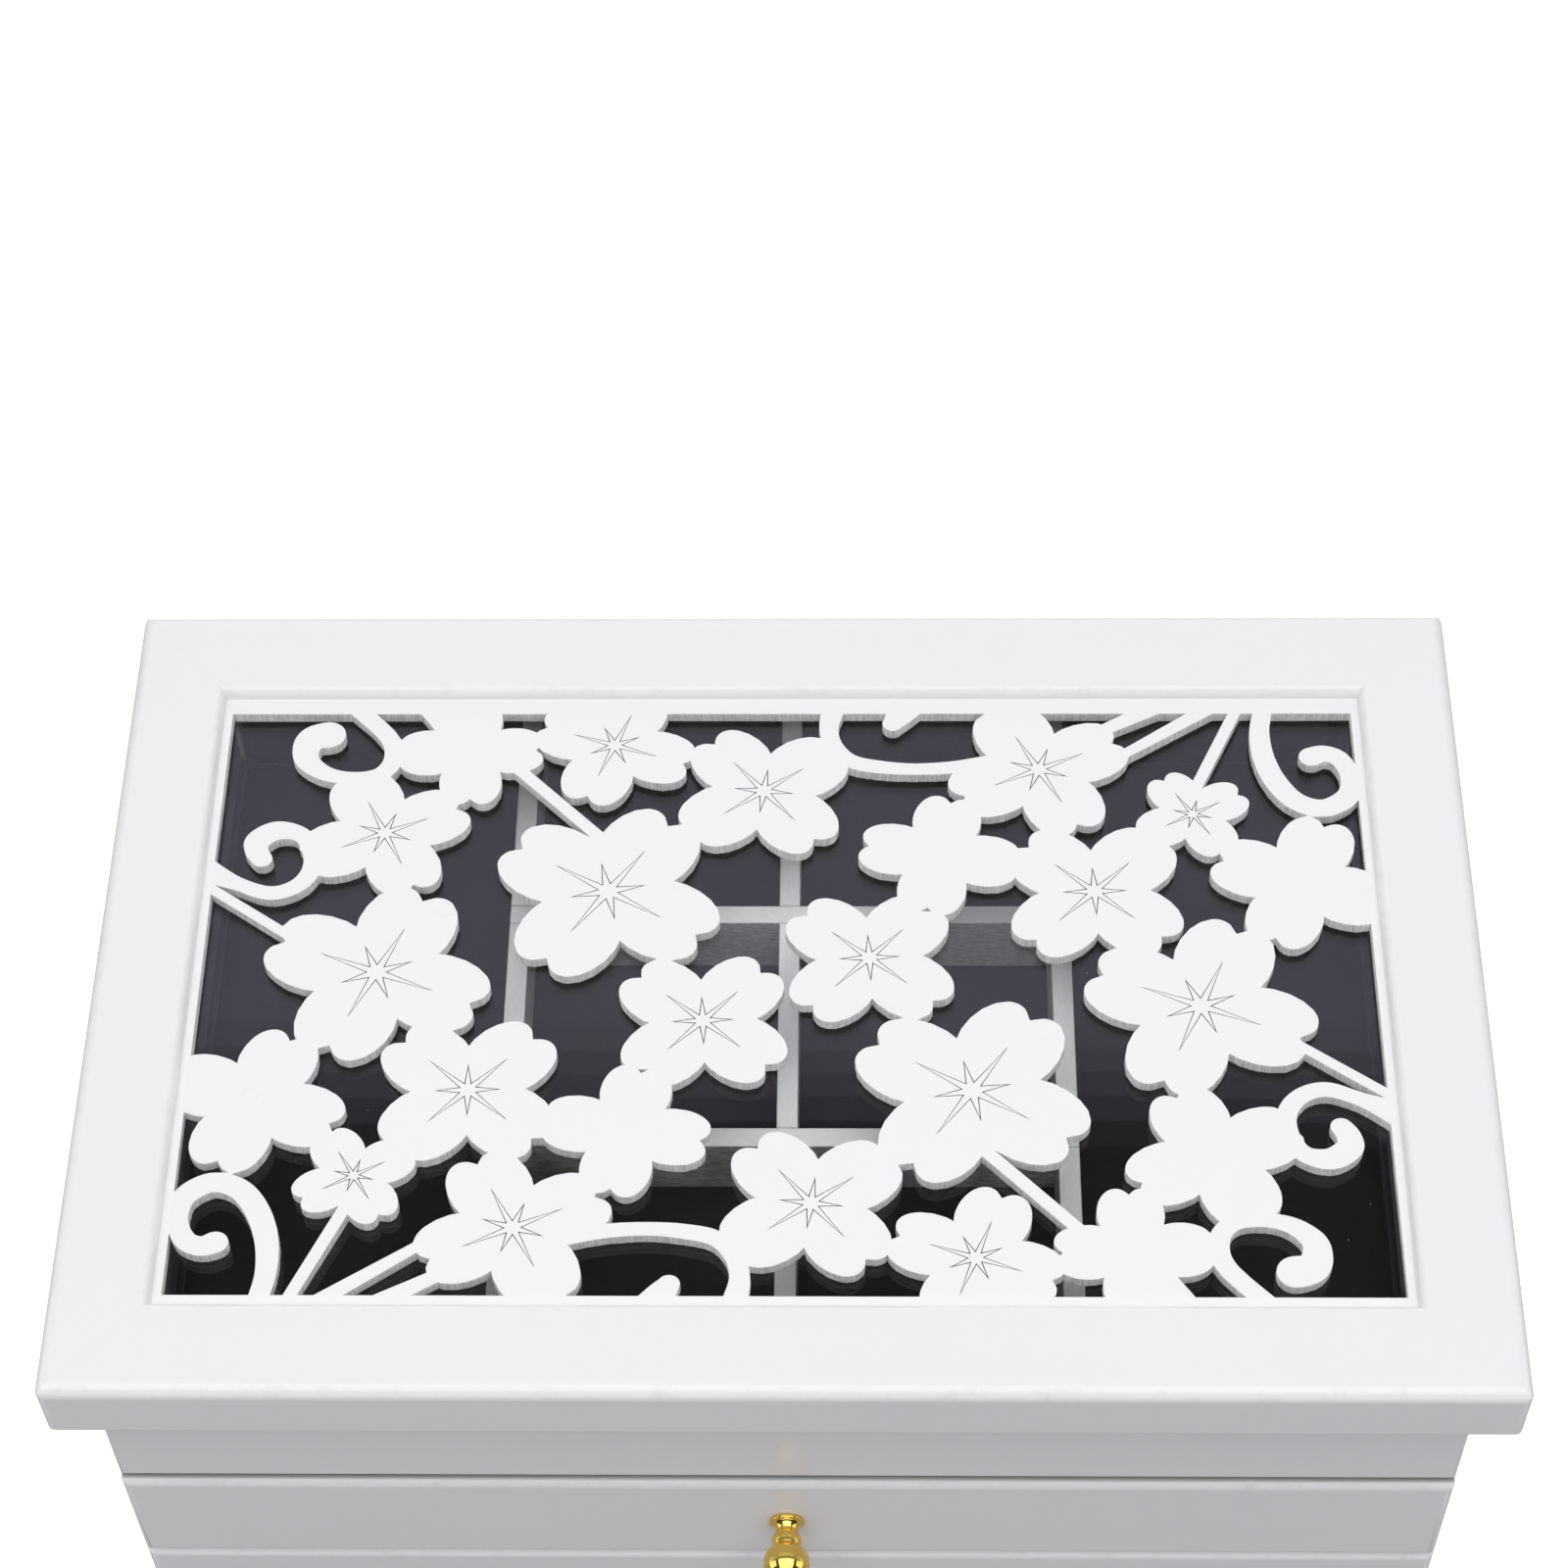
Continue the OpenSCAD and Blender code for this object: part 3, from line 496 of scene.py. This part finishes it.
# %% Studio floor
FLOOR_BOUNCE, FLOOR_SEEN, FLOOR_GLOW, FLOOR_HALF = 0.36, 0.3, 0.88, 8.0
studio, tree, shader = material("studio_floor")
seen = tree.nodes.new("ShaderNodeLightPath").outputs["Is Camera Ray"]
tree.links.new(blend(tree, seen, grey(FLOOR_BOUNCE), grey(FLOOR_SEEN)), shader.inputs["Base Color"])
tree.links.new(maths(tree, "MULTIPLY", seen, FLOOR_GLOW), shader.inputs["Emission Strength"])
shader.inputs["Roughness"].default_value = 0.8
shader.inputs["Specular IOR Level"].default_value = 0.1
shader.inputs["Emission Color"].default_value = (1, 1, 1, 1)
corners = [(x * FLOOR_HALF, y * FLOOR_HALF, 0) for x, y in ((-1, -1), (1, -1), (1, 1), (-1, 1))]
floor_mesh = bpy.data.meshes.new("floor")
floor_mesh.from_pydata(corners, [], [(0, 1, 2, 3)])
floor_mesh.materials.append(studio)
floor = bpy.data.objects.new("floor", floor_mesh)
bpy.context.scene.collection.objects.link(floor)
print("materials", len(bpy.data.materials))

# %% [markdown]
# ## Finished boards
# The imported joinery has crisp, faceted edges. Real painted boards have softened edges, and light
# runs smoothly over their roundings. So each board is copied, its loose triangles are merged, flat
# neighbours are joined into one face, the remaining sharp edges get a small bevel, and shading is
# smooth except where faces meet at more than 35 degrees. The copy stands for its node.

# %% Finished copies of the joinery
WELD, FLAT_ANGLE, SMOOTH_ANGLE, FULL_TILT = 2e-6, math.radians(0.6), math.radians(35), math.radians(20)
EDGE, EDGE_STEPS = 0.00025, 2
# Painted shade: the band and the drawer fronts get darker paint on their edges in the gaps between them. The
# numbers set where that shade starts behind the front, how fast it fades in, how near the upper and lower
# faces it lies and how far it keeps off the ends.
CREVICE_SHADED_BOARDS = ["front_band"] + [f"drawer_{k}_front" for k in range(1, DRAWERS + 1)]
TUCK_START, CREVICE_SHADE_FADE, CREVICE_SHADE_RIM, CREVICE_SHADE_END = 0.0011, 0.0008, 0.0011, 0.0001


def new_piece(name, mesh, body, replaced=(), materials=()):
    """Puts a mesh in the scene as a piece of the chest."""
    piece = bpy.data.objects.new(name, mesh)
    bpy.context.scene.collection.objects.link(piece)
    for one in materials:
        mesh.materials.append(one)
    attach(piece, body)
    if replaced:
        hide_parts(*replaced)
    return piece


def mark_turned_faces(mesh):
    """Writes the face attribute edge: 0 where a face looks along an axis, 1 where it is tilted by
    FULL_TILT or more."""
    normals = np.empty(len(mesh.polygons) * 3, np.float32)
    mesh.polygons.foreach_get("normal", normals)
    along = np.abs(normals.reshape(-1, 3)).max(axis=1)
    tilt = np.clip((1 - along) / (1 - math.cos(FULL_TILT)), 0, 1)
    mesh.attributes.new("edge", "FLOAT", "FACE").data.foreach_set("value", tilt.astype(np.float32))


def mark_crevice_shade_points(mesh, low, high):
    """Writes the point attribute of painted crevice shade, which darkens the paint where shadow falls
    in the gaps: from TUCK_START behind the front it rises from 0 to 1 over CREVICE_SHADE_FADE,
    only on the upper and lower edges of the board, whose box is low..high, and not on its two end faces."""
    place = np.empty(len(mesh.vertices) * 3, np.float32)
    mesh.vertices.foreach_get("co", place)
    x, y, z = place.reshape(-1, 3).T
    share = np.clip((y - low.y - TUCK_START) / CREVICE_SHADE_FADE, 0, 1)
    share *= (np.minimum(z - low.z, high.z - z) < CREVICE_SHADE_RIM) & (np.minimum(x - low.x, high.x - x) > CREVICE_SHADE_END)
    mesh.attributes.new("crevice_shade", "FLOAT", "POINT").data.foreach_set("value", share.astype(np.float32))


def finished_board(node, finish):
    """A merged, bevelled and smoothly shaded copy of a CAD node, which it replaces."""
    build = bmesh.new()
    build.from_mesh(frame["nodes"][node].data)
    bmesh.ops.remove_doubles(build, verts=build.verts, dist=WELD)
    bmesh.ops.dissolve_limit(build, angle_limit=FLAT_ANGLE, verts=build.verts, edges=build.edges)
    mesh = bpy.data.meshes.new(f"{node}_finished")
    build.to_mesh(mesh)
    build.free()
    mesh.materials.clear()
    draft = bpy.data.objects.new("draft", mesh)
    bpy.context.scene.collection.objects.link(draft)
    edges = draft.modifiers.new("soft_edges", "BEVEL")
    edges.width, edges.segments, edges.limit_method = EDGE, EDGE_STEPS, "ANGLE"
    edges.angle_limit = SMOOTH_ANGLE
    edges.harden_normals = False
    made = bpy.data.meshes.new_from_object(draft.evaluated_get(bpy.context.evaluated_depsgraph_get()))
    bpy.data.objects.remove(draft)
    made.shade_smooth()
    made.set_sharp_from_angle(angle=SMOOTH_ANGLE)
    mark_turned_faces(made)
    # Painted shade: the band and the drawer fronts carry the mask that darkens their crevice edges.
    if node in CREVICE_SHADED_BOARDS:
        mark_crevice_shade_points(made, *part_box(node))
    piece = new_piece(f"{node}_finished", made, BODY_OF[node], (node,), (finish,))
    shade = piece.modifiers.new("flat_faces_stay_flat", "WEIGHTED_NORMAL")
    shade.keep_sharp = True
    shade.mode = "FACE_AREA"


white_boards = ["lid_front_rail", "lid_right_rail", "lid_back_rail", "lid_left_rail", "front_band",
                "base_board", "case_side_left", "case_side_right", "back_panel", "glazing_beads", "feet"]
for node in white_boards + CREVICE_SHADED_BOARDS[1:]:
    finished_board(node, white_lacquer)
for node in ["divider_left", "divider_centre", "divider_right"]:
    finished_board(node, divider_y)
for node in ["divider_front", "divider_back"]:
    finished_board(node, divider_x)
for k in range(1, DRAWERS + 1):
    finished_board(f"drawer_{k}_side_left", wood_along_y)
    finished_board(f"drawer_{k}_side_right", wood_along_y)
    finished_board(f"drawer_{k}_back", wood_along_x)

# %% Nodes that keep their shape
keep = {"glass_pane": glass, "tray_floor": hardboard}
keep.update({f"shelf_{k}": hardboard for k in range(1, DRAWERS + 1)})
keep.update({f"drawer_{k}_bottom": hardboard for k in range(1, DRAWERS + 1)})
for name in ["lid_leaf_left", "lid_leaf_right", "case_leaf_left", "case_leaf_right", "hinge_pins",
             "lid_hinge_screws", "case_hinge_screws"]:
    keep[name] = plate_brass
for node, finish in keep.items():
    data = frame["nodes"][node].data
    data.materials.clear()
    data.materials.append(finish)
print("kept nodes", len(keep))

# %% [markdown]
# ## Turned knobs
# A knob is turned on a lathe, so its surface is one profile carried round an axis. The profile is a
# smooth curve through a few radii: a round foot, a waist, a bead and a crease, then the ball. It is
# carried round the axis that runs out of the drawer along -y.

# %% Knobs
BALL_R, FOOT_R, WAIST_R, BEAD_R, STUD_R = 0.00535, 0.00405, 0.00265, 0.0035, 0.0016
STUD_L = 0.0065


def smooth_through(points, per_span):
    """Catmull-Rom: between points b and c, with a before and d after them, the curve is half of
    2b + (c-a)t + (2a-5b+4c-d)t2 + (3b-a-3c+d)t3."""
    p = np.asarray(points, float)
    index = np.arange(len(p) - 1)
    a, b, c, d = p[np.maximum(index - 1, 0)], p[:-1], p[1:], p[np.minimum(index + 2, len(p) - 1)]
    t = (np.arange(per_span) / per_span)[None, :, None]
    a, b, c, d = a[:, None], b[:, None], c[:, None], d[:, None]
    curve = 0.5 * (2 * b + (c - a) * t + (2 * a - 5 * b + 4 * c - d) * t**2 + (3 * b - a - 3 * c + d) * t**3)
    return np.vstack([curve.reshape(-1, p.shape[1]), p[-1:]])


def knob_profile(reach):
    """Radius and distance out, from the stud's end to the ball's tip. The ball's centre is at reach less
    its radius."""
    centre = reach - BALL_R
    crease = 0.94 * BEAD_R
    start = centre - math.sqrt(BALL_R**2 - crease**2)
    neck = np.array([[FOOT_R, 0.07], [0.985 * FOOT_R, 0.14], [0.84 * FOOT_R, 0.20], [1.08 * WAIST_R, 0.33],
                     [WAIST_R, 0.44], [0.5 * (WAIST_R + BEAD_R), 0.58], [BEAD_R, 0.78], [crease, 1.0]])
    neck = neck * [1, start]
    angle = np.linspace(-math.acos(crease / BALL_R), math.pi / 2, 40)[1:]
    ball = np.column_stack([BALL_R * np.cos(angle), centre + BALL_R * np.sin(angle)])
    foot = np.array([[0, -STUD_L], [STUD_R, -STUD_L], [STUD_R, 0], [FOOT_R - 0.0003, 0],
                     [FOOT_R - 0.00005, 0.0002]])
    return np.vstack([foot, smooth_through(neck, 8), ball])


def lathe_mesh(name, profile, centre, around=64):
    """A lathe's surface: the point at radius r and distance s stands at centre + (r cos a, -s, r sin a)."""
    angle = np.linspace(0, 2 * math.pi, around, endpoint=False)
    r, s = profile[:, 0][:, None], profile[:, 1][:, None]
    grid = np.stack([r * np.cos(angle), -s + 0 * angle, r * np.sin(angle)], axis=-1) + np.array(centre)
    rows = len(profile)
    i, j = np.meshgrid(np.arange(rows - 1), np.arange(around), indexing="ij")
    k = (j + 1) % around
    faces = np.stack([i * around + j, (i + 1) * around + j, (i + 1) * around + k, i * around + k], axis=-1)
    mesh = bpy.data.meshes.new(name)
    mesh.from_pydata(grid.reshape(-1, 3).tolist(), [], faces.reshape(-1, 4).tolist())
    length = np.concatenate([[0], np.cumsum(np.hypot(*np.diff(profile, axis=0).T))])
    u = np.stack([j, j, j + 1, j + 1], axis=-1) / around
    v = length[np.stack([i, i + 1, i + 1, i], axis=-1)]
    turning = np.stack([u, v], axis=-1).astype(np.float32)
    mesh.uv_layers.new(name="turning").data.foreach_set("uv", turning.ravel())
    build = bmesh.new()
    build.from_mesh(mesh)
    bmesh.ops.remove_doubles(build, verts=build.verts, dist=1e-7)
    bmesh.ops.recalc_face_normals(build, faces=build.faces)
    build.to_mesh(mesh)
    build.free()
    mesh.shade_smooth()
    mesh.set_sharp_from_angle(angle=math.radians(50))
    return mesh


for k in range(1, DRAWERS + 1):
    node = f"drawer_{k}_knob"
    low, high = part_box(node)
    face_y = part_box(f"drawer_{k}_front")[0].y
    centre = ((low.x + high.x) / 2, face_y, (low.z + high.z) / 2)
    knob = lathe_mesh(f"knob_{k}", knob_profile(face_y - low.y), centre)
    new_piece(f"knob_{k}", knob, f"drawer_{k}", (node,), (turned_brass,))
print("knob reach mm", round((face_y - low.y) * 1000, 2))

# %% [markdown]
# ## The fretwork panel
# The panel is a thin board cut right through, with eight-pointed stars scored into the blossoms. Its
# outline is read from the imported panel's upper face, so the two always agree. The short straight
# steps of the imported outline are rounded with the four-point rule, which leaves corners alone.

# %% Outline of the panel
TINY = 1e-9


def face_loops(mesh, height):
    """Closed loops of points round the faces of a mesh that lie at this height."""
    build = bmesh.new()
    build.from_mesh(mesh)
    bmesh.ops.remove_doubles(build, verts=build.verts, dist=WELD)
    flat = [f for f in build.faces if f.normal.z > 0.99 and abs(f.calc_center_median().z - height) < 1e-5]
    members = set(flat)
    after = {}
    for f in flat:
        for corner in f.loops:
            if sum(other in members for other in corner.edge.link_faces) == 1:
                after.setdefault(corner.vert.index, []).append(corner.link_loop_next.vert.index)
    place = {v.index: (v.co.x, v.co.y) for v in build.verts}
    loops = []
    while after:
        here = start = next(iter(after))
        path = []
        while True:
            path.append(place[here])
            onward = after[here].pop()
            if not after[here]:
                del after[here]
            here = onward
            if here == start:
                break
        loops.append(np.array(path))
    build.free()
    return loops


def turn_angles(p):
    """How far a closed path turns at each of its points, in radians."""
    before, after = p - np.roll(p, 1, axis=0), np.roll(p, -1, axis=0) - p
    cross = before[:, 0] * after[:, 1] - before[:, 1] * after[:, 0]
    return np.arctan2(cross, (before * after).sum(axis=1))


def rounded(p, shortest=0.0003, longest=0.0026, corner=math.radians(38)):
    """Four-point rule: a new point half-way is (9(b+c) - (a+d)) / 16, with a and d drawn in to the span's
    own length and put straight on behind a corner. Spans under shortest or over longest stay straight."""
    a, b, c, d = np.roll(p, 1, axis=0), p, np.roll(p, -1, axis=0), np.roll(p, -2, axis=0)
    span = np.linalg.norm(c - b, axis=1, keepdims=True)
    before = np.maximum(np.linalg.norm(a - b, axis=1, keepdims=True), TINY)
    after = np.maximum(np.linalg.norm(d - c, axis=1, keepdims=True), TINY)
    near_a = b + (a - b) * np.minimum(1, span / before)
    near_d = c + (d - c) * np.minimum(1, span / after)
    sharp = np.abs(turn_angles(p)) > corner
    near_a = np.where(sharp[:, None], 2 * b - c, near_a)
    near_d = np.where(np.roll(sharp, -1)[:, None], 2 * c - b, near_d)
    middle = (9 * (b + c) - (near_a + near_d)) / 16
    both = np.stack([b, middle], axis=1).reshape(-1, 2)
    halved = (span[:, 0] < longest) & (span[:, 0] > shortest)
    return both[np.stack([np.ones(len(p), bool), halved], axis=1).ravel()]


panel_low, panel_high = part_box("fretwork_panel")
panel_loops = face_loops(frame["nodes"]["fretwork_panel"].data, panel_high.z)
outlines = [rounded(rounded(loop)) for loop in panel_loops]
print("outlines", len(outlines), "points", sum(len(o) for o in outlines))

# %% [markdown]
# Each scored star is a closed line: four long rays along the petals, four short ones toward the
# clefts. The line is a real groove, drawn as three closed paths, of which the middle one is lower. The
# blossoms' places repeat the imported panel's own pattern, turned half round for the second half.

# %% Stars
FIELD = (0.270, 0.175)
HALF_STARS = np.array([[-42, 30, 27.6, 57], [71.5, 30, 22.8, 47], [19, 9.5, 21.6, 48], [-6, 62, 21.8, 38],
                       [-94.5, 5, 26.6, 67], [-42, 77, 19.6, 70], [59.5, 69, 22, 26], [95.5, 54.5, 14, 30]])
LONE_STAR = np.array([[-95.5, 48.5, 20.3, 25]])
other_half = HALF_STARS * [-1, -1, 1, 1] + [0, 0, 0, 180]
star_list = np.vstack([HALF_STARS, other_half, LONE_STAR])
inside = max(outlines, key=lambda o: np.ptp(o[:, 0]))
holes = [o for o in outlines if o is not inside]
hole_points = np.vstack(holes)
open_low, open_high = hole_points.min(axis=0), hole_points.max(axis=0)
centre_of_field, stretch = (open_low + open_high) / 2, (open_high - open_low) / FIELD
GROOVE_HALF, GROOVE_DEEP, STAR_POINTS = 0.00022, 0.0003, 16


def star(place, grow):
    """A star's outline, moved out by grow: long rays 0.53 R, short rays 0.31 R, and 0.085 R between them."""
    x, y, radius, turn = place
    radius = radius / 1000
    reach = np.resize([0.53, 0.085, 0.31, 0.085], STAR_POINTS) * radius
    reach = reach + grow * np.resize([3.2, 1.0, 2.6, 1.0], STAR_POINTS)
    angle = np.radians(turn) + np.arange(STAR_POINTS) * math.pi / (STAR_POINTS / 2)
    points = np.column_stack([np.cos(angle), np.sin(angle)]) * reach[:, None] + np.array([x, y]) / 1000
    return points * stretch + centre_of_field


print("stars", len(star_list), "opening mm", np.round((open_high - open_low) * 1000, 1))

# %% [markdown]
# The upper face is triangulated between all these paths. A triangle is kept where a line from it to
# the side crosses the outlines an odd number of times. A narrow softened rim and the cut walls follow
# each outline.

# %% Panel mesh
SOFT_RIM, RAGGED, CROWD, SHARPEST = 0.00012, 0.00004, 0.4, 0.55
FACE, WALL, GROOVE = 0, 1, 2


def shorter_side(p):
    """The shorter of the two sides that meet at each point of a closed path."""
    after = np.linalg.norm(np.roll(p, -1, axis=0) - p, axis=1, keepdims=True)
    return np.minimum(after, np.roll(after, 1, axis=0))


def moved_in(p, distance):
    """A closed path moved to its left by distance, each point along the bisector of its two sides, and by no
    more than CROWD of its shorter side, so that the path doesn't cross itself in a tight corner."""
    distance = np.minimum(distance, CROWD * shorter_side(p))
    before, after = p - np.roll(p, 1, axis=0), np.roll(p, -1, axis=0) - p
    left = [np.column_stack([-v[:, 1], v[:, 0]]) / np.linalg.norm(v, axis=1, keepdims=True)
            for v in (before, after)]
    middle = left[0] + left[1]
    middle /= np.maximum(np.linalg.norm(middle, axis=1, keepdims=True), TINY)
    stretch_at = np.maximum((middle * left[0]).sum(axis=1, keepdims=True), SHARPEST)
    return p + middle * distance / stretch_at


def odd_crossings(points, paths):
    """For each point, whether a line to +x crosses the paths an odd number of times."""
    start = np.vstack(paths)
    end = np.vstack([np.roll(p, -1, axis=0) for p in paths])
    x, y = points[:, 0][:, None], points[:, 1][:, None]
    spans = (start[:, 1] > y) != (end[:, 1] > y)
    with np.errstate(divide="ignore", invalid="ignore"):
        cross_x = start[:, 0] + (y - start[:, 1]) * (end[:, 0] - start[:, 0]) / (end[:, 1] - start[:, 1])
    return (spans & (x < cross_x)).sum(axis=1) % 2 == 1


def chains(paths, first=0):
    """Edges that close each path, numbered from first."""
    out, at = [], first
    for p in paths:
        n = len(p)
        index = np.arange(n)
        out.append(np.column_stack([at + index, at + (index + 1) % n]))
        at += n
    return np.vstack(out)


def split_by(paths):
    """A sheet of triangles with these closed paths among its edges: its points, its triangles, and for
    each of its points the numbers of the path points that it stands for."""
    flat = [Vector(p) for p in np.vstack(paths)]
    points, _, faces, sources = delaunay_2d_cdt(flat, chains(paths).tolist(), [], 1, 1e-8)[:4]
    return np.array([tuple(v) for v in points]), np.array(faces), sources


def facing(points, faces, up):
    """The same triangles, each turned to run anticlockwise, or clockwise where up is -1."""
    a, b, c = points[faces[:, 0]], points[faces[:, 1]], points[faces[:, 2]]
    wrong = np.cross(b - a, c - a) * up < 0
    return np.where(wrong[:, None], faces[:, ::-1], faces)


def fretwork_mesh():
    """The panel as one closed mesh: face with grooves, rim, cut walls and back."""
    rims = [moved_in(p, SOFT_RIM) for p in outlines]
    grooves = [star(s, g * GROOVE_HALF) for s in star_list for g in (1, 0, -1)]
    lowered = np.concatenate([np.zeros(sum(map(len, rims)), bool),
                              np.tile(np.repeat([False, True, False], STAR_POINTS), len(star_list))])
    points, faces, sources = split_by(rims + grooves)
    drop = np.zeros(len(points))
    drop[[i for i, old in enumerate(sources) if old and lowered[old[0]]]] = GROOVE_DEEP
    faces = facing(points, faces[odd_crossings(points[faces].mean(axis=1), rims)], 1)
    face_points = np.column_stack([points, panel_high.z - drop])
    wall = np.vstack(outlines)
    rng = np.random.default_rng(7)
    room = np.vstack([shorter_side(p) for p in outlines])
    ragged = wall + np.clip(rng.normal(0, RAGGED, wall.shape), -CROWD / 2 * room, CROWD / 2 * room)
    rows = [np.column_stack([np.vstack(rims), np.full(len(wall), panel_high.z)]),
            np.column_stack([wall, np.full(len(wall), panel_high.z - SOFT_RIM)]),
            np.column_stack([ragged, np.full(len(wall), panel_low.z)])]
    at = len(face_points)
    sides = []
    for row in range(2):
        upper = chains(outlines, at + row * len(wall))
        lower = upper + len(wall)
        sides.append(np.column_stack([upper[:, 1], upper[:, 0], lower[:, 0], lower[:, 1]]))
    ragged_paths = np.split(ragged, np.cumsum([len(p) for p in outlines])[:-1])
    back_points, back, _ = split_by(ragged_paths)
    back = facing(back_points, back[odd_crossings(back_points[back].mean(axis=1), ragged_paths)], -1)
    back = back + at + len(rows) * len(wall)
    rows.append(np.column_stack([back_points, np.full(len(back_points), panel_low.z)]))
    mesh = bpy.data.meshes.new("fretwork")
    mesh.from_pydata(np.vstack([face_points] + rows).tolist(), [],
                     faces.tolist() + sides[0].tolist() + sides[1].tolist() + back.tolist())
    kind = np.full(len(mesh.polygons), FACE, np.int32)
    kind[len(faces) + len(wall):len(faces) + 2 * len(wall)] = WALL
    kind[:len(faces)] = np.where((drop[faces] > 0).any(axis=1), GROOVE, FACE)
    mesh.polygons.foreach_set("material_index", kind)
    build = bmesh.new()
    build.from_mesh(mesh)
    bmesh.ops.remove_doubles(build, verts=build.verts, dist=2e-7)
    open_edges = sum(len(e.link_faces) != 2 for e in build.edges)
    build.to_mesh(mesh)
    build.free()
    print("fretwork faces", len(mesh.polygons), "open edges", open_edges)
    return mesh


fretwork = fretwork_mesh()
fretwork.shade_smooth()
fretwork.set_sharp_from_angle(angle=math.radians(30))
mark_turned_faces(fretwork)
new_piece("fretwork", fretwork, "lid", ("fretwork_panel",),
          (fretwork_lacquer, cut_edge, scored_line))

# %% [markdown]
# ## Velvet linings
# The tray is lined with one cloth, cut as a cross and turned up at the four walls. Glued velvet
# follows the boards, but its pile sits unevenly, so the sheet dips by a tenth of a millimetre and
# turns up over a small radius. A Solidify modifier gives it its thickness on the hidden side.

# %% Velvet sheets
PILE, CLOTH_SHARE, MARGIN, FLOOR_LIFT, DRAWER_MARGIN = 0.0009, 0.8, 0.0026, 0.001, 0.0002
FLOOR_DIP, WALL_DIP, FLOOR_STEP, WALL_STEP = 0.00012, 0.00008, 0.0028, 0.0024


def dips(x, y, depth):
    """Shallow hollows: depth times a product of slow sines, from 0 down to -depth."""
    wave = np.sin(x * 71 + 1.3 * np.sin(y * 43)) * np.sin(y * 83 + 1.1 * np.sin(x * 37))
    return -depth * (0.5 + 0.5 * wave)


def cloth_patch(width, length, step):
    """A grid of points (u, v) that covers width by length, and its quads."""
    nu, nv = max(2, round(width / step) + 1), max(2, round(length / step) + 1)
    u, v = np.meshgrid(np.linspace(-width / 2, width / 2, nu), np.linspace(0, length, nv), indexing="ij")
    i, j = np.meshgrid(np.arange(nu - 1), np.arange(nv - 1), indexing="ij")
    quads = np.stack([i * nv + j, (i + 1) * nv + j, (i + 1) * nv + j + 1, i * nv + j + 1], axis=-1)
    return u, v, quads.reshape(-1, 4)


def floor_patch(low, high, margin, z):
    """The flat of a lining, margin short of its box on every side."""
    u, v, quads = cloth_patch(high.x - low.x - 2 * margin, high.y - low.y - 2 * margin, FLOOR_STEP)
    x, y = u + (low.x + high.x) / 2, v + low.y + margin
    return np.stack([x, y, z + dips(x, y, FLOOR_DIP)], axis=-1).reshape(-1, 3), quads


def wall_patch(low, high, margin, z, side):
    """A flap: a quarter turn of radius margin - PILE, then straight up. side counts quarter turns from
    the front."""
    across = side % 2 == 0
    run = (high.x - low.x if across else high.y - low.y) - 2 * margin
    out = (high.y - low.y if across else high.x - low.x) / 2 - margin
    bend = margin - PILE
    quarter, rise = bend * math.pi / 2, high.z - z - bend
    u, v, quads = cloth_patch(run, quarter + rise, WALL_STEP)
    angle = np.minimum(v / bend, math.pi / 2)
    away = out + bend * np.sin(angle) + dips(u, v, WALL_DIP) * 0.5 * (v > quarter)
    height = z + bend * (1 - np.cos(angle)) + np.maximum(v - quarter, 0)
    height = height + dips(u, v * 0, FLOOR_DIP) * (v == 0)
    turn = side * math.pi / 2
    local_x, local_y = u, -away
    x = local_x * math.cos(turn) - local_y * math.sin(turn) + (low.x + high.x) / 2
    y = local_x * math.sin(turn) + local_y * math.cos(turn) + (low.y + high.y) / 2
    return np.stack([x, y, height], axis=-1).reshape(-1, 3), quads


def velvet_piece(name, node, patches, body):
    starts = np.cumsum([0] + [len(p) for p, _ in patches])
    mesh = bpy.data.meshes.new(name)
    mesh.from_pydata(np.vstack([p for p, _ in patches]).tolist(), [],
                     np.vstack([q + s for (_, q), s in zip(patches, starts)]).tolist())
    build = bmesh.new()
    build.from_mesh(mesh)
    bmesh.ops.remove_doubles(build, verts=build.verts, dist=3e-5)
    build.to_mesh(mesh)
    build.free()
    mesh.shade_smooth()
    piece = new_piece(name, mesh, body, (node,), (velvet,))
    thick = piece.modifiers.new("pile", "SOLIDIFY")
    thick.thickness, thick.offset = PILE * CLOTH_SHARE, -1


# %% Tray lining
low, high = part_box("tray_lining")
floor_z = low.z + FLOOR_LIFT
patches = [floor_patch(low, high, MARGIN, floor_z)]
patches += [wall_patch(low, high, MARGIN, floor_z, side) for side in range(4)]
velvet_piece("tray_velvet", "tray_lining", patches, "case")

# %% Drawer linings
for k in range(1, DRAWERS + 1):
    low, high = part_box(f"drawer_{k}_lining")
    patch = floor_patch(low, high, DRAWER_MARGIN, high.z)
    velvet_piece(f"drawer_{k}_velvet", f"drawer_{k}_lining", [patch], f"drawer_{k}")
